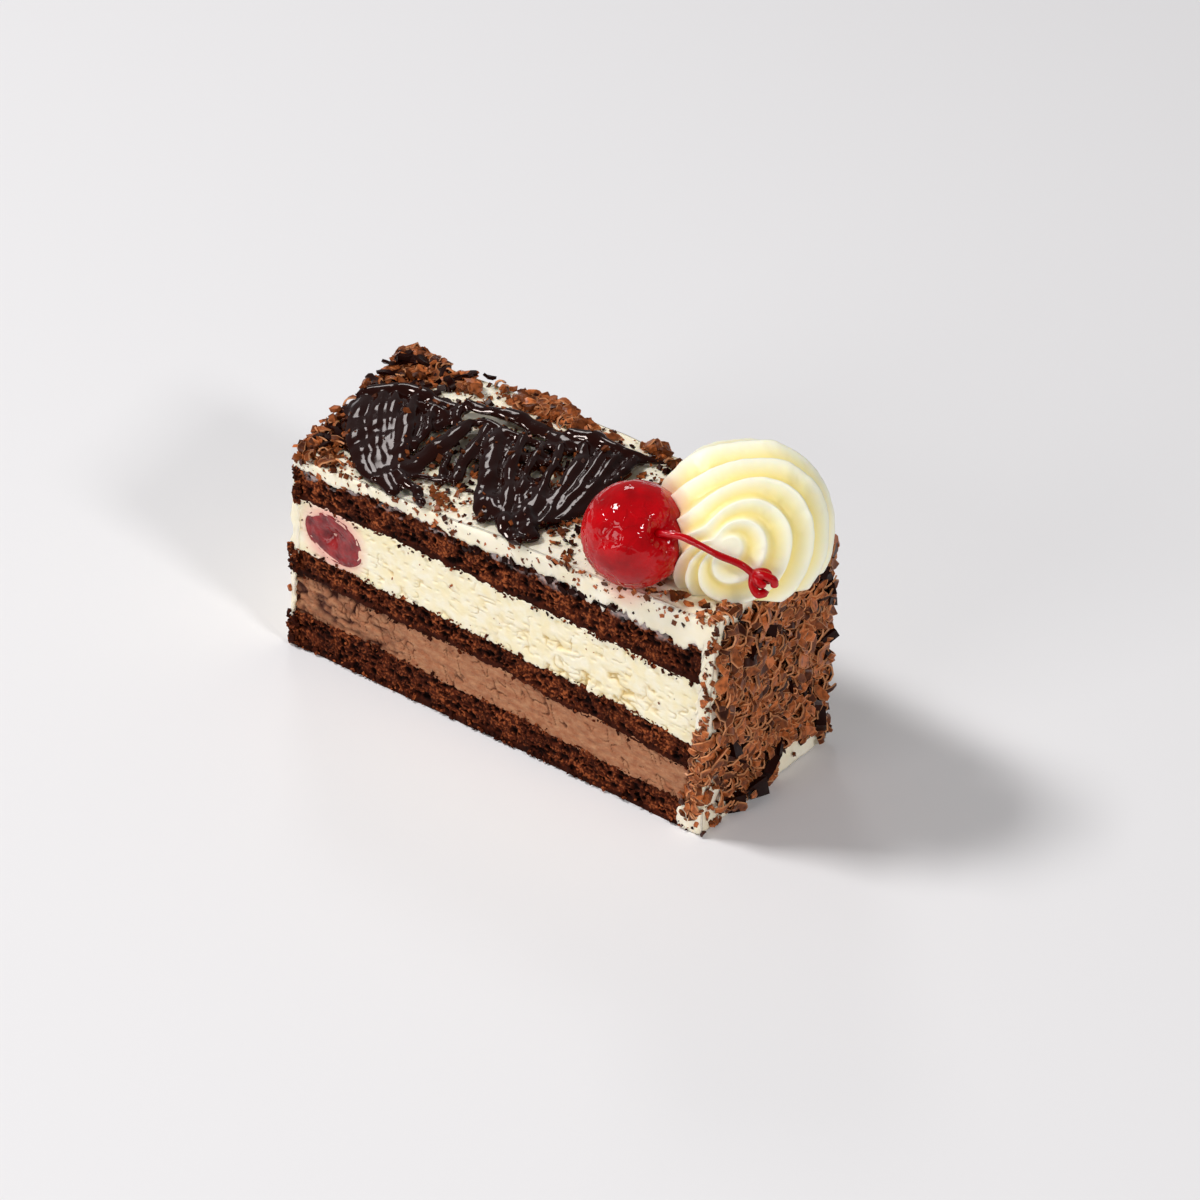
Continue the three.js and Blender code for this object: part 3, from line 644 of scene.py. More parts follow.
def set_cream(colors):
    """Whipped cream set with gelatine, cut with a knife: satin, pale yellow, light passes into
    it a little, and it's pink where it touches the cherry."""
    material, tree, shader = new_finish(
        "set_cream", Roughness=0.5, Specular_IOR_Level=0.3, Subsurface_Weight=0.25,
        Subsurface_Radius=(1.0, 0.85, 0.6), Subsurface_Scale=1.2 * MM,
    )
    mottle = remapped(tree, noise_value(tree, 2.5), 0.35, 0.65)
    base = blended(tree, mottle, colors.cream, colors.cream_deep)
    # Painted shade: where the cut lies back, in its tears, pits and the hollow round the cut
    # cherry, the cream turns a darker tan.
    torn = remapped(tree, attribute_value(tree, "relief"), 0.2, 0.8)
    base = blended(tree, torn, base, colors.cream_tear_shade)
    stain = near_point(tree, PIECE_CENTER, 6.5, 10.5)
    tree.links.new(blended(tree, stain, base, colors.stain), shader.inputs["Base Color"])
    with_bump(tree, shader, noise_value(tree, 0.9, 4.0, (1.0, 1.0, 1.6)), 0.15, 0.5)
    return material


def chocolate_mousse(colors):
    """Cream whipped with milk chocolate and dragged by the knife: dull, mid brown, with lighter
    smears where it was pressed."""
    material, tree, shader = new_finish(
        "chocolate_mousse", Roughness=0.55, Specular_IOR_Level=0.2, Subsurface_Weight=0.1,
        Subsurface_Radius=(1.0, 0.7, 0.5), Subsurface_Scale=0.8 * MM,
    )
    smears = remapped(tree, noise_value(tree, 1.7, 4.0, (0.8, 1.0, 1.3)), 0.35, 0.75)
    base = blended(tree, smears, colors.mousse, colors.mousse_light)
    # Painted shade: where the cut lies back, in its tears and cracks, the mousse turns dark brown.
    torn = remapped(tree, attribute_value(tree, "relief"), 0.35, 1.05)
    tree.links.new(blended(tree, torn, base, colors.mousse_tear_shade), shader.inputs["Base Color"])
    with_bump(tree, shader, noise_value(tree, 0.55, 4.0), 0.25, 0.9)
    return material


def butter_icing(colors):
    """Butter cream spread with a palette knife: smooth ivory, satin, soft in the light."""
    material, tree, shader = new_finish(
        "butter_icing", Roughness=0.42, Specular_IOR_Level=0.4, Subsurface_Weight=0.3,
        Subsurface_Radius=(1.0, 0.85, 0.6), Subsurface_Scale=1.5 * MM,
    )
    mottle = remapped(tree, noise_value(tree, 5.0), 0.3, 0.7)
    base = blended(tree, mottle, colors.icing, colors.icing_deep)
    stain = near_point(tree, CHERRY_CENTER - np.array([0, 0, 8.0]), 5.0, 9.0)
    tree.links.new(blended(tree, stain, base, colors.stain), shader.inputs["Base Color"])
    with_bump(tree, shader, noise_value(tree, 1.6, 3.0), 0.12, 0.5)
    return material


def milk_chocolate(colors, name="milk_chocolate"):
    """Milk chocolate, shaved, with a faint shine, and a painted highlight of a lighter colour on
    the rims of the chips.
    """
    material, tree, shader = new_finish(name, Roughness=0.33, Specular_IOR_Level=0.16)
    shade = attribute_value(tree, "shade")
    base = blended(tree, shade, colors.milk_dark_and_shade, colors.milk_light)
    streaks = remapped(tree, noise_value(tree, 1.1), 0.4, 0.8)
    base = blended(tree, streaks, base, colors.milk_dark_and_shade)
    # Painted highlight: the rims of the chips, where the rim attribute is high, take the light rim
    # colour.
    rim = remapped(tree, attribute_value(tree, "rim"), 0.35, 1.0, 0.0, 0.65)
    tree.links.new(blended(tree, rim, base, colors.milk_rim_highlight), shader.inputs["Base Color"])
    with_bump(tree, shader, noise_value(tree, 0.5), 0.08, 0.6)
    return material


def dark_chocolate(colors, name, roughness):
    """Dark chocolate, melted and set: near black with a wet-looking shine."""
    material, tree, shader = new_finish(
        name, Base_Color=colors.dark, Specular_IOR_Level=0.36 - roughness,
        Specular_Tint=(1.0, 0.84, 0.78),
    )
    uneven = remapped(tree, noise_value(tree, 3.0), 0.3, 0.7, roughness, 2.0 * roughness)
    tree.links.new(uneven, shader.inputs["Roughness"])
    with_bump(tree, shader, noise_value(tree, 1.6, 1.0), 0.05, 0.2)
    return material


def piped_cream(colors):
    """Butter cream pressed through a star nozzle: satin ridges, with painted shade of warm yellow
    down in the grooves, a little pink where the cherry touches."""
    material, tree, shader = new_finish(
        "piped_cream", Roughness=0.4, Specular_IOR_Level=0.4, Subsurface_Weight=0.4,
        Subsurface_Radius=(1.0, 0.8, 0.45), Subsurface_Scale=2.0 * MM,
    )
    # Painted shade: the deeper the groove, the nearer the cream comes to the warm yellow.
    groove = remapped(tree, attribute_value(tree, "relief"), 0.15, 0.95)
    base = blended(tree, groove, colors.rosette, colors.rosette_groove_shade)
    stain = near_point(tree, CHERRY_CENTER, 11.5, 15.0)
    soft = add_node(tree, "ShaderNodeMath", {0: stain}, operation="MULTIPLY")
    soft.inputs[1].default_value = 0.55
    tree.links.new(blended(tree, soft.outputs[0], base, colors.stain), shader.inputs["Base Color"])
    with_bump(tree, shader, noise_value(tree, 0.8, 3.0), 0.06, 0.5)
    return material


def candied_cherry(colors):
    """A cherry candied in red syrup: deep red, clear wet glaze over fine wrinkles."""
    material, tree, shader = new_finish(
        "candied_cherry", Roughness=0.05, Specular_IOR_Level=0.3, Subsurface_Weight=0.08,
        Subsurface_Radius=(1.0, 0.06, 0.04), Subsurface_Scale=2.0 * MM,
    )
    depth = remapped(tree, noise_value(tree, 5.0, 2.0), 0.3, 0.8)
    base = blended(tree, depth, colors.cherry, colors.cherry_deep)
    tree.links.new(base, shader.inputs["Base Color"])
    with_bump(tree, shader, noise_value(tree, 1.7, 1.0), 0.28, 0.6)
    return material


def cut_cherry(colors):
    """The flesh of a preserved cherry, cut: wet, translucent, darker in patches."""
    material, tree, shader = new_finish(
        "cut_cherry", Roughness=0.16, Specular_IOR_Level=0.4, Subsurface_Weight=0.1,
        Subsurface_Radius=(1.0, 0.3, 0.25), Subsurface_Scale=1.5 * MM,
    )
    depth = remapped(tree, noise_value(tree, 3.0, 3.0), 0.35, 0.65)
    base = blended(tree, depth, colors.flesh, colors.flesh_deep)
    tree.links.new(base, shader.inputs["Base Color"])
    with_bump(tree, shader, noise_value(tree, 1.3, 3.0), 0.4, 0.8)
    return material


def matt_floor(colors):
    """A painted studio floor: plain, pale and matt."""
    return new_finish("matt_floor", Base_Color=colors.floor, Roughness=0.7)[0]


# ---- shapes of the layers -------------------------------------------------------------------


def crumb_depth(points, share):
    """How far sponge crumb lies back from the cut: bubbles with thin walls, deep where a slower
    noise is high, small rounded lumps on the walls, a few large pores and a slow swell. The
    baked skin at the foot of the layer is close and smooth."""
    bent = points + 0.5 * shifts(points, 1.1, 12)
    squeezed = bent * np.array([0.75, 1.0, 1.2])
    near, second = seed_distances(squeezed, 1.55, 11)
    fine, _ = seed_distances(points, 0.6, 23)
    pore, _ = seed_distances(squeezed, 2.6, 37)
    hole = falloff(pore, 0.38) ** 0.6
    bubble = ease(second - near, 0.1, 0.55) * ease(bumps(points, 2.2, 31), -0.45, 0.5)
    crumb = ease(share + 0.06 * bumps(points, 2.0, 29), 0.08, 0.24)
    swell = rough(points, 6.0, 5, 2)
    torn = 1.1 * bubble + 0.4 * fine**2 + 0.9 * hole
    return 0.2 + crumb * torn + (1.0 - crumb) * 0.12 * fine + 0.16 * swell


def cream_depth(points, share):
    """How far set cream lies back from the cut: a slow wave, small crumbling, short tears where
    a stretched noise is close to zero, broken flakes near the middle of the slice's right half,
    and a hollow round the cherry."""
    stretched = points * np.array([0.6, 1.0, 1.25])
    wave = 0.1 * rough(points, 9.0, 41, 2)
    grain = 0.055 * rough(stretched, 1.4, 43, 3)
    tears = falloff(np.abs(bumps(stretched, 1.7, 47)), 0.11)
    where = ease(bumps(points, 2.6, 53), 0.0, 0.4)
    pit, _ = seed_distances(stretched, 2.1, 52)
    pits = 0.34 * falloff(pit, 0.28) ** 0.7
    broken = np.exp(-(((points[:, 0] - 27.0) / 17.0) ** 2)) * ease(0.75 - share, 0.0, 0.3)
    bent = points + 1.1 * shifts(points, 1.7, 56)
    flake, gap = seed_distances(bent * np.array([0.7, 1.0, 1.25]), 2.9, 59)
    step = 0.7 * falloff(gap - flake, 0.13) + 0.9 * flake**2
    chips = broken * ease(bumps(points, 3.0, 55), -0.2, 0.25) * 0.9 * step + pits
    relief = np.maximum(0.14 + wave + grain + 0.42 * tears * where + chips, 0.02)
    return relief + cherry_bowl(points)


def cherry_bowl(points):
    """Depth of the hollow of the cream round the cut cherry: a tilted oval with an uneven edge,
    at the front cut alone."""
    half_length, half_height, depth = 7.1, 4.8, 1.5
    off = points - PIECE_CENTER
    x = off[:, 0] * math.cos(PIECE_TILT) - off[:, 2] * math.sin(PIECE_TILT)
    z = off[:, 0] * math.sin(PIECE_TILT) + off[:, 2] * math.cos(PIECE_TILT)
    edge = np.hypot(x / half_length, z / half_height) + 0.04 * rough(points, 3.4, 57, 2)
    return depth * (1.0 - ease(edge, 0.78, 1.08)) * (off[:, 1] < 6.0)


def mousse_depth(points, _share):
    """How far mousse lies back from the cut, at any share of its height: drag marks along the
    slice and fine tears, and at the plain end lumps with cracks between them, bent by a slower
    noise."""
    stretched = points * np.array([0.45, 1.0, 1.4])
    left = 1.0 - ease(points[:, 0] + 7.0 * bumps(points, 7.0, 63), -44.0, -14.0)
    drag = (0.12 + 0.12 * left) * rough(stretched, 1.5, 61, 3)
    bent = points + 1.3 * shifts(points, 2.2, 64)
    lump, gap = seed_distances(bent * np.array([0.8, 1.0, 1.1]), 2.7, 67)
    crack = falloff(gap - lump, 0.14) * ease(bumps(points, 3.4, 68), -0.1, 0.45)
    small, _ = seed_distances(stretched, 1.0, 69)
    upright = points * np.array([1.2, 1.0, 0.65]) + np.array([0.35, 0.0, 0.0]) * points[:, 2:]
    tears = falloff(np.abs(bumps(upright, 1.5, 71)), 0.12)
    where = ease(bumps(points, 2.4, 73), -0.1, 0.3)
    rough_left = left * (0.9 * crack + 0.8 * lump**1.5)
    return np.maximum(0.22 + drag + rough_left + 0.14 * small + 0.55 * tears * where, 0.04)


def frayed(line, seed, shift=0.0):
    """Unevenness along a torn edge: fine noise, and coarse noise taken at a shift upwards."""
    coarse = rough(line + np.array([0.0, 0.0, shift]), 1.9, seed, 2)
    return coarse + 0.7 * bumps(line, 0.55, seed + 2)


def layer_body(lower, upper, cells, depth, fray, overlap):
    """A layer of the slice: a box lattice between two levels whose cut faces lie back by a depth
    function, with edges frayed by noise and pushed over the lower and the upper neighbour by an
    overlap. With it come its relief, its smears of icing and the share of its height."""
    u, v, w, quads = lattice_skin(*cells)
    across = 0.5 - 0.5 * np.cos(np.pi * v)
    along = mix(-REACH - UNDER_PLAIN, REACH + UNDER_COAT, u)
    high = level_height(upper, along, across)
    line = np.stack([along, across * NOMINAL, np.zeros_like(along)], axis=-1)
    frayed_high = high + overlap[1] + fray * frayed(line, 89)
    if lower == "table":
        frayed_low = np.zeros_like(along)
    else:
        low = level_height(lower, along, across)
        frayed_low = low - overlap[0] + fray * frayed(line, 83, 7.0)
    points = place(along, across, mix(frayed_low, frayed_high, w))
    relief = np.zeros(len(points))
    cut = (v == 0) | (v == 1)
    relief[cut] = depth(points[cut], w[cut])
    points[:, 1] += relief * np.where(v == 0, 1.0, -1.0) * cut
    patchy = rough(points * np.array([0.6, 1.0, 1.3]), 1.7, 93, 3) + 0.3 * ease(along, -20.0, 20.0)
    smear = ease(w, 0.62, 0.95) * ease(patchy, 0.15, 0.5)
    return points, quads, np.clip(relief, 0.0, 1.6), smear * cut, w


def end_cover(side, height, seam):
    """Width of the icing at the cut edge of an end: full beside the cream, thin beside the
    sponges, and at the rosette end a broad foot."""
    rosette_end = 1.5 + 1.5 * ease(height, 22.0, 26.0) + 3.4 * (1.0 - ease(height, 4.0, 9.5))
    beside_cream = ease(height, 25.0, 28.0) * (1.0 - ease(height, 38.0, 41.0))
    plain_end = 0.95 + 1.3 * beside_cream
    cover = np.where(side > 0, rosette_end, plain_end)
    ragged = cover + 0.45 * rough(seam, 2.2, 101, 2) + 0.3 * bumps(seam, 0.7, 102)
    return np.maximum(ragged, np.where(side > 0, 1.35, 0.85))


def drips(seam, along):
    """How far the icing hangs down over the sponge: coarse noise that is never below zero, two
    finer ones, and all of it heavier towards the rosette end."""
    heavier = mix(0.6, 1.5, ease(along, -8.0, 35.0))
    coarse = np.clip(0.3 + 1.0 * rough(seam, 3.4, 97, 2), 0.0, 2.2) * heavier
    return coarse + (0.7 * bumps(seam, 1.2, 98) + 0.6 * bumps(seam, 0.6, 99)) * heavier


def end_swell(seam, outer, rise, on_top, w):
    """How far the coat of an end lies further along: a swollen foot at the rosette end, and
    lumps on the plain end. Nothing at its inner side."""
    foot = FOOT_SWELL * w * (1.0 - ease(rise, 0.0, FOOT_SHARE)) * (outer > 0)
    lumpy = (ease(rise, 0.45, 0.6) + 0.5) * (1.0 - on_top) * (outer < 0)
    return foot - w * lumpy * np.maximum(0.2 + 0.8 * rough(seam, 4.0, 105, 2), 0.0)


def edge_depth(points, w):
    """How far the icing's cut edge lies back: rounded at its outer side, thin at its torn inner
    side, a little proud of the sponge between them."""
    edge = np.clip((w - 0.72) / 0.28, 0.0, 1.0)
    roundness = 0.9 * (1.0 - np.sqrt(1.0 - edge**2 * 0.96))
    thin = 0.25 * (1.0 - ease(w, 0.0, 0.15))
    return -0.18 + thin + roundness + 0.12 * rough(points, 3.0, 103, 3)


def coat_body():
    """The icing as a bent strip: up one end, over the top and down the other. Its cut edges are
    rounded, and its inner edge is torn and runs in drips."""
    side_cells, top_cells, nv, nw = 110, 420, 26, 13
    stations = 2 * side_cells + top_cells
    u, v, w, quads = lattice_skin(stations, nv, nw)
    step = np.round(u * stations)
    across = 0.5 - 0.5 * np.cos(np.pi * v)
    share = np.clip((step - side_cells) / top_cells, 0.0, 1.0)
    rise = np.clip(np.minimum(step, stations - step) / side_cells, 0.0, 1.0)
    outer = mix(-LENGTH / 2, LENGTH / 2, share)
    seam = np.stack([outer, across * NOMINAL, rise * NOMINAL], axis=-1)
    cover = end_cover(np.sign(outer), rise * NOMINAL, seam)
    inner = np.clip(outer, -LENGTH / 2 + cover, LENGTH / 2 - cover)
    on_top = ease(rise, 0.9, 1.0)
    top_low = level_height("sponge_top", inner, across) - drips(seam, inner)
    top = mix(top_low, level_height("icing_coat", outer, across), w)
    along = mix(inner, outer, w) + end_swell(seam, outer, rise, on_top, w)
    points = place(along, across, mix(GAP, top, rise))
    cut = np.where(v == 0, 1.0, 0.0) - np.where(v == 1, 1.0, 0.0)
    points[:, 1] += cut * edge_depth(points, w)
    outside = (w == 1) * ease(v, 0.0, 0.03) * ease(1.0 - v, 0.0, 0.03)
    normal = np.stack([np.sign(outer) * (1.0 - on_top), np.zeros_like(u), on_top], axis=-1)
    wave = 0.28 * rough(points * np.array([0.6, 1.0, 1.0]), 7.0, 107, 3) - 0.15
    points += normal * (wave * outside)[:, None]
    points[:, 2] = np.maximum(points[:, 2], GAP)
    return points, quads


def piece_body():
    """The cut cherry in the cream: a ball of unequal sizes whose front is pressed flat at the
    cut, with a pit in the middle and wrinkled flesh."""
    cube, quads = cube_skin(36)
    ball = unit(cube)
    wrinkled = 1.0 + 0.04 * rough(ball, 0.7, 113, 2)
    body = ball * wrinkled[:, None] * PIECE_SIZE
    turn, slope = math.cos(PIECE_TILT), math.sin(PIECE_TILT)
    x = turn * body[:, 0] + slope * body[:, 2]
    z = -slope * body[:, 0] + turn * body[:, 2]
    points = np.stack([x, body[:, 1], z], axis=-1) + PIECE_CENTER
    face = FRONT_Y + 0.1 - 0.15 * rough(points, 2.5, 117, 3)
    hollow = np.exp(-((x + 0.8) ** 2 / 9.0 + (z - 0.4) ** 2 / 3.2))
    face = face + 1.1 * hollow * (1.0 + 0.5 * rough(points, 1.6, 119, 2))
    front = points[:, 1] < face
    points[front, 1] = face[front]
    return points, quads


# ---- shapes of the chips --------------------------------------------------------------------


def turned_frames(normals, spin, tip, roll):
    """Rotation matrices whose third axis is the normal tipped by two small angles, spun round."""
    normals = unit(normals)
    helper = np.where(np.abs(normals[:, :1]) < 0.8, [[1.0, 0.0, 0.0]], [[0.0, 1.0, 0.0]])
    first = unit(np.cross(helper, normals))
    second = np.cross(normals, first)
    axis_u = first * np.cos(spin)[:, None] + second * np.sin(spin)[:, None]
    axis_v = np.cross(normals, axis_u)
    up = unit(normals + axis_u * np.sin(tip)[:, None] + axis_v * np.sin(roll)[:, None])
    axis_u = unit(np.cross(axis_v, up))
    return np.stack([axis_u, np.cross(up, axis_u), up], axis=2)


def laid(shapes, faces, places, frames):
    """Each shape (n, k, 3) turned by its frame and moved to its place, as one body."""
    points = np.einsum("nij,nkj->nki", frames, shapes) + places[:, None]
    count, corners = shapes.shape[:2]
    starts = (np.arange(count) * corners)[:, None, None]
    return points.reshape(-1, 3), (faces[None] + starts).reshape(-1, faces.shape[1])


def shaving_shapes(random, count, lengths, widths, thickness, bends):
    """Curled shavings: strips bent on an arc with ragged sides, a little twisted, each a closed
    plate of two sheets. Their rims are the narrow outer rows, which get a painted highlight."""
    nu, nv = 5, 3
    u, v, w, quads = lattice_skin(nu, nv, 1)
    rim = np.abs(v - 0.5) == 0.5
    v = np.where(rim, v, 0.14 + 0.72 * (v > 0.5))
    length = random.uniform(*lengths, (count, 1))
    width = random.uniform(*widths, (count, 1))
    bend = random.uniform(*bends, (count, 1))
    twist = random.normal(0.0, 0.5, (count, 1))
    ragged = random.uniform(0.55, 1.1, (count, 2, nu + 1))
    taper = 0.45 + 0.55 * np.sin(np.pi * np.linspace(0.12, 0.88, nu + 1))
    row = np.round(u * nu).astype(int)
    side = (v - 0.5)[None] * width * (ragged * taper)[:, (v > 0.5).astype(int), row]
    turn = (u - 0.5)[None] * bend
    radius = length / bend
    reach = radius + (w - 0.5)[None] * thickness
    skew = (u - 0.5)[None] * twist
    x = reach * np.sin(turn)
    z = reach * np.cos(turn) - radius * np.cos(bend / 4) + side * np.sin(skew)
    return np.stack([x, side * np.cos(skew), z], axis=-1), halved(quads), rim * 1.0


def crumb_shapes(random, count, sizes, flatness=0.7, detail=1):
    """Broken crumbs: lattice balls squared off by a high norm, scaled unequally, each corner
    pushed in or out at random."""
    ball, quads = cube_skin(detail)
    ball /= (np.abs(ball) ** 3).sum(axis=1, keepdims=True) ** (1 / 3)
    size = random.uniform(0.0, 1.0, (count, 1, 1)) ** 1.6 * (sizes[1] - sizes[0]) + sizes[0]
    least, most = [0.8, 0.5, 0.45 * flatness], [1.35, 1.0, flatness]
    stretch = random.uniform(least, most, (count, 3))[:, None]
    push = random.uniform(0.55, 1.2, (count, len(ball), 1))
    return ball[None] * push * size * 0.5 * stretch, halved(quads), np.zeros(len(ball))


def flake_shapes(random, count, sizes, thickness):
    """Leaf-like flakes: thin prisms on a ring of seven points at random radii, dished along
    one way, with a thin edge."""
    corners = 7
    turn = np.linspace(0.0, 2 * np.pi, corners, endpoint=False)
    radius = random.uniform(0.6, 1.0, (count, corners)) * random.uniform(*sizes, (count, 1)) / 2
    stretch = random.uniform(0.45, 0.8, (count, 1))
    x, y = radius * np.cos(turn), radius * np.sin(turn) * stretch
    dish = random.uniform(0.03, 0.16, (count, 1))
    ring = np.stack([x, y, dish * x**2], axis=-1)
    middle = ring.mean(axis=1, keepdims=True) * np.array([1.0, 1.0, 0.0])
    lift = np.array([0.0, 0.0, thickness])
    shapes = np.concatenate([ring, ring * 0.9 + lift, middle, middle + lift], axis=1)
    first = np.arange(corners)
    after = (first + 1) % corners
    foot = np.stack([after, first, np.full(corners, 2 * corners)], axis=-1)
    head = np.stack([first + corners, after + corners, np.full(corners, 2 * corners + 1)], axis=-1)
    sides = halved(np.stack([first, after, after + corners, first + corners], axis=-1))
    # Rim weights for the painted highlight: full on the lower ring, less on the upper ring, none at
    # the middles.
    rim = np.repeat([1.0, 0.45, 0.0], [corners, corners, 2])
    return shapes, np.concatenate([foot, head, sides]), rim


def lace_gap(x, y):
    """Distance from points of the top to the nearest strand of the lace, less its half width."""
    nearest = np.full(np.shape(x), 99.0)
    for route, widths, _ in LACE:
        path = curve_points(route, 24)
        half = np.linspace(widths[0], widths[1], 24) / 2
        for point, radius in zip(path, half):
            nearest = np.minimum(nearest, np.hypot(x - point[0], y - point[1]) - radius)
    return nearest


def open_top(x, y, margin):
    """Where the top is free of the lace, the rosette and the cherry by a margin."""
    rosette = np.hypot(x - ROSETTE_CENTER[0], y - ROSETTE_CENTER[1]) > ROSETTE_RADIUS - 1.0 + margin
    cherry = np.hypot(x - CHERRY_CENTER[0], y - CHERRY_CENTER[1]) > 0.45 * CHERRY_RADIUS + margin
    return (lace_gap(x, y) > margin) & rosette & cherry


def top_spots(random, count, lengthwise, crosswise, margin, thinning=None):
    """Random places on the top within shares of its length and width, with the normal up."""
    share = random.uniform(*lengthwise, count * 4)
    across = random.uniform(*crosswise, count * 4)
    along = mix(-LENGTH / 2, LENGTH / 2, share)
    height = level_height("icing_coat", along, across)
    places = place(along, across, height)
    keep = open_top(places[:, 0], places[:, 1], margin)
    if thinning is not None:
        keep &= random.uniform(0.0, 1.0, len(places)) < thinning(share, across)
    places = places[keep][:count]
    return places, np.tile([0.0, 0.0, 1.0], (len(places), 1))


def end_spots(random, count, side, bare=None):
    """Random places on an end of the slice, with its outward normal."""
    across = random.uniform(-0.01, 1.0, count * 3)
    up = random.uniform(0.03, 0.99, count * 3)
    height = up * END_HEIGHT
    keep = np.ones(len(across), bool)
    if bare is not None:
        keep = ~bare(random, across, height)
    return on_end(side, across[keep][:count], height[keep][:count])


def on_end(side, across, height):
    """Points of an end of the slice at shares of its width and heights, and the normals."""
    swell = FOOT_SWELL * (1.0 - ease(height / COAT_HEIGHT, 0.0, FOOT_SHARE)) * (side > 0)
    places = place(np.full(len(across), side * LENGTH / 2) + swell, across, height)
    slope = -LEAN * side * (1 - across)
    normals = np.stack([np.full(len(across), side), np.zeros(len(across)), slope], axis=-1)
    return places, normals


def front_spots(random, count, lengthwise, low, high):
    """Random places on the front cut, from low to high millimetres under the icing's top."""
    along = mix(-LENGTH / 2, LENGTH / 2, random.uniform(*lengthwise, count))
    top = level_height("icing_coat", along, 0.0)
    height = top - random.uniform(low, high, count)
    places = place(along, np.zeros(count), height)
    return places, np.tile([0.0, -1.0, 0.0], (count, 1))


def bare_icing(random, across, height):
    """Where the rosette end shows its icing: the near edge beside the cream and the sponge over
    it, the near foot and the far foot, with borders that waver."""
    ragged = random.uniform(0.0, 1.0, len(across))
    width, far_middle = 46.0, 0.74
    spots = np.column_stack([across * width, height, np.zeros(len(across))])
    waver = bumps(spots, 3.0, 181)
    near = (across < 0.045 + 0.03 * ragged + 0.03 * waver) & (height > 24.0)
    foot = (across < 0.22 * ragged + 0.08) & (height < 15.0 - 34.0 * across + 3.0 * waver)
    far_side = np.abs(across - far_middle) < 0.17 + 0.06 * waver
    far = far_side & (height < 4.5 + 2.5 * ragged + 2.5 * waver)
    return near | foot | far


def chip_body(random, forms, spots, lift, tilt):
    """Chips laid on a surface at random turns, tilted by chance and lifted along its normal,
    with a shade each and the rim of their shape.

    The forms are shapes, faces and rim, and the spots are places and normals. There are as many
    chips as both allow.
    """
    shapes, faces, rim = forms
    places, normals = spots
    count = min(len(shapes), len(places))
    shapes, places, normals = shapes[:count], places[:count], normals[:count]
    spin = random.uniform(0.0, 2 * np.pi, count)
    tip = random.normal(0.0, tilt, count)
    roll = random.normal(0.0, tilt, count)
    frames = turned_frames(normals, spin, tip, roll)
    raised = places + frames[:, :, 2] * random.uniform(*lift, (count, 1))
    points, triangles = laid(shapes, faces, raised, frames)
    shade = np.repeat(random.uniform(0.0, 1.0, count), shapes.shape[1])
    return points, triangles, np.column_stack([shade, np.tile(rim, count)])


def joined_chips(bodies):
    """Several bodies of chips as one, kept above the table, and their attributes."""
    points, faces = joined([(points, triangles) for points, triangles, _ in bodies])
    points[:, 2] = np.maximum(points[:, 2], CHIP_GAP)
    looks = np.concatenate([looks for _, _, looks in bodies])
    return points, faces, {"shade": looks[:, 0], "rim": looks[:, 1]}


def make_chips(name, bodies, material, slot):
    """One piece from several bodies of chips."""
    points, faces, looks = joined_chips(bodies)
    make_piece(name, points, faces, material, slot, (), looks, CHIP_SHARP)


# ---- shapes of the toppings -----------------------------------------------------------------


def strand_body(route, widths, rise, thickness, seed):
    """A strand of set chocolate: a flattened tube whose width wavers, lying on the icing and
    raised a little in its middle. It's made thicker all round by the fillet size."""
    count, sides = 44, 12
    flat = curve_points(route, count)
    share = np.linspace(0.0, 1.0, count)
    line = np.stack([share * 9.0, np.full(count, seed * 1.7), np.zeros(count)], axis=-1)
    flat = flat + 0.55 * np.column_stack([rough(line, 2.6, 133, 2), rough(line, 2.6, 135, 2)])
    tips = np.minimum(1.0, 0.6 + 3.5 * np.minimum(share, 1 - share))
    half = 0.53 * mix(widths[0], widths[1], share) * tips * (1.0 + 0.16 * rough(line, 1.3, 131, 2))
    tall = np.minimum(0.5 * thickness * (1.0 + 0.15 * bumps(line, 1.4, 137)), half)
    bow = rise * np.sin(np.pi * np.minimum(1.0, 0.25 + share))
    base = icing_height(flat[:, 0], flat[:, 1])
    path = np.column_stack([flat, base + 0.1 + np.maximum(bow, 0.0) + tall])
    points, faces = tube(path, half + FILLET, sides)
    centers = np.repeat(path[:, 2], sides)
    squash = np.repeat((tall + FILLET) / (half + FILLET), sides)
    body = points[:-2].copy()
    body[:, 2] = centers + (body[:, 2] - centers) * squash
    return np.vstack([body, points[-2:]]), faces


def thread_bodies(random):
    """Thin threads from a random point of one strand to the nearest point of another."""
    bodies = []
    stations = 9
    for k in range(THREADS):
        one, other = random.choice(len(LACE), 2, replace=False)
        start = curve_points(LACE[one][0], stations)[random.integers(1, 8)]
        ends = curve_points(LACE[other][0], stations)
        end = ends[np.argmin(np.hypot(*(ends - start).T))]
        length = np.hypot(*(end - start))
        if 2.0 < length < 11.0:
            middle = (start + end) / 2 + random.normal(0.0, 0.8, 2)
            widths = random.uniform(0.7, 1.9, 2)
            rise = random.uniform(0.2, 1.0)
            bodies.append(strand_body([start, middle, end], widths, rise, 1.2, 140 + k))
    return bodies


def ring_bodies(random):
    """Small oval loops of chocolate at random places beside the strands."""
    bodies = []
    turn = np.linspace(0.0, 2 * np.pi, 8)
    oval = np.column_stack([np.cos(turn), 1.3 * np.sin(turn)])
    for k in range(RINGS):
        middle = curve_points(LACE[random.integers(len(LACE))][0], 9)[random.integers(0, 5)]
        middle = middle + random.normal(0.0, 1.6, 2)
        ring = middle + random.uniform(1.0, 2.1) * oval
        bodies.append(strand_body(ring, random.uniform(0.8, 1.5, 2), 0.5, 1.3, 180 + k))
    return bodies


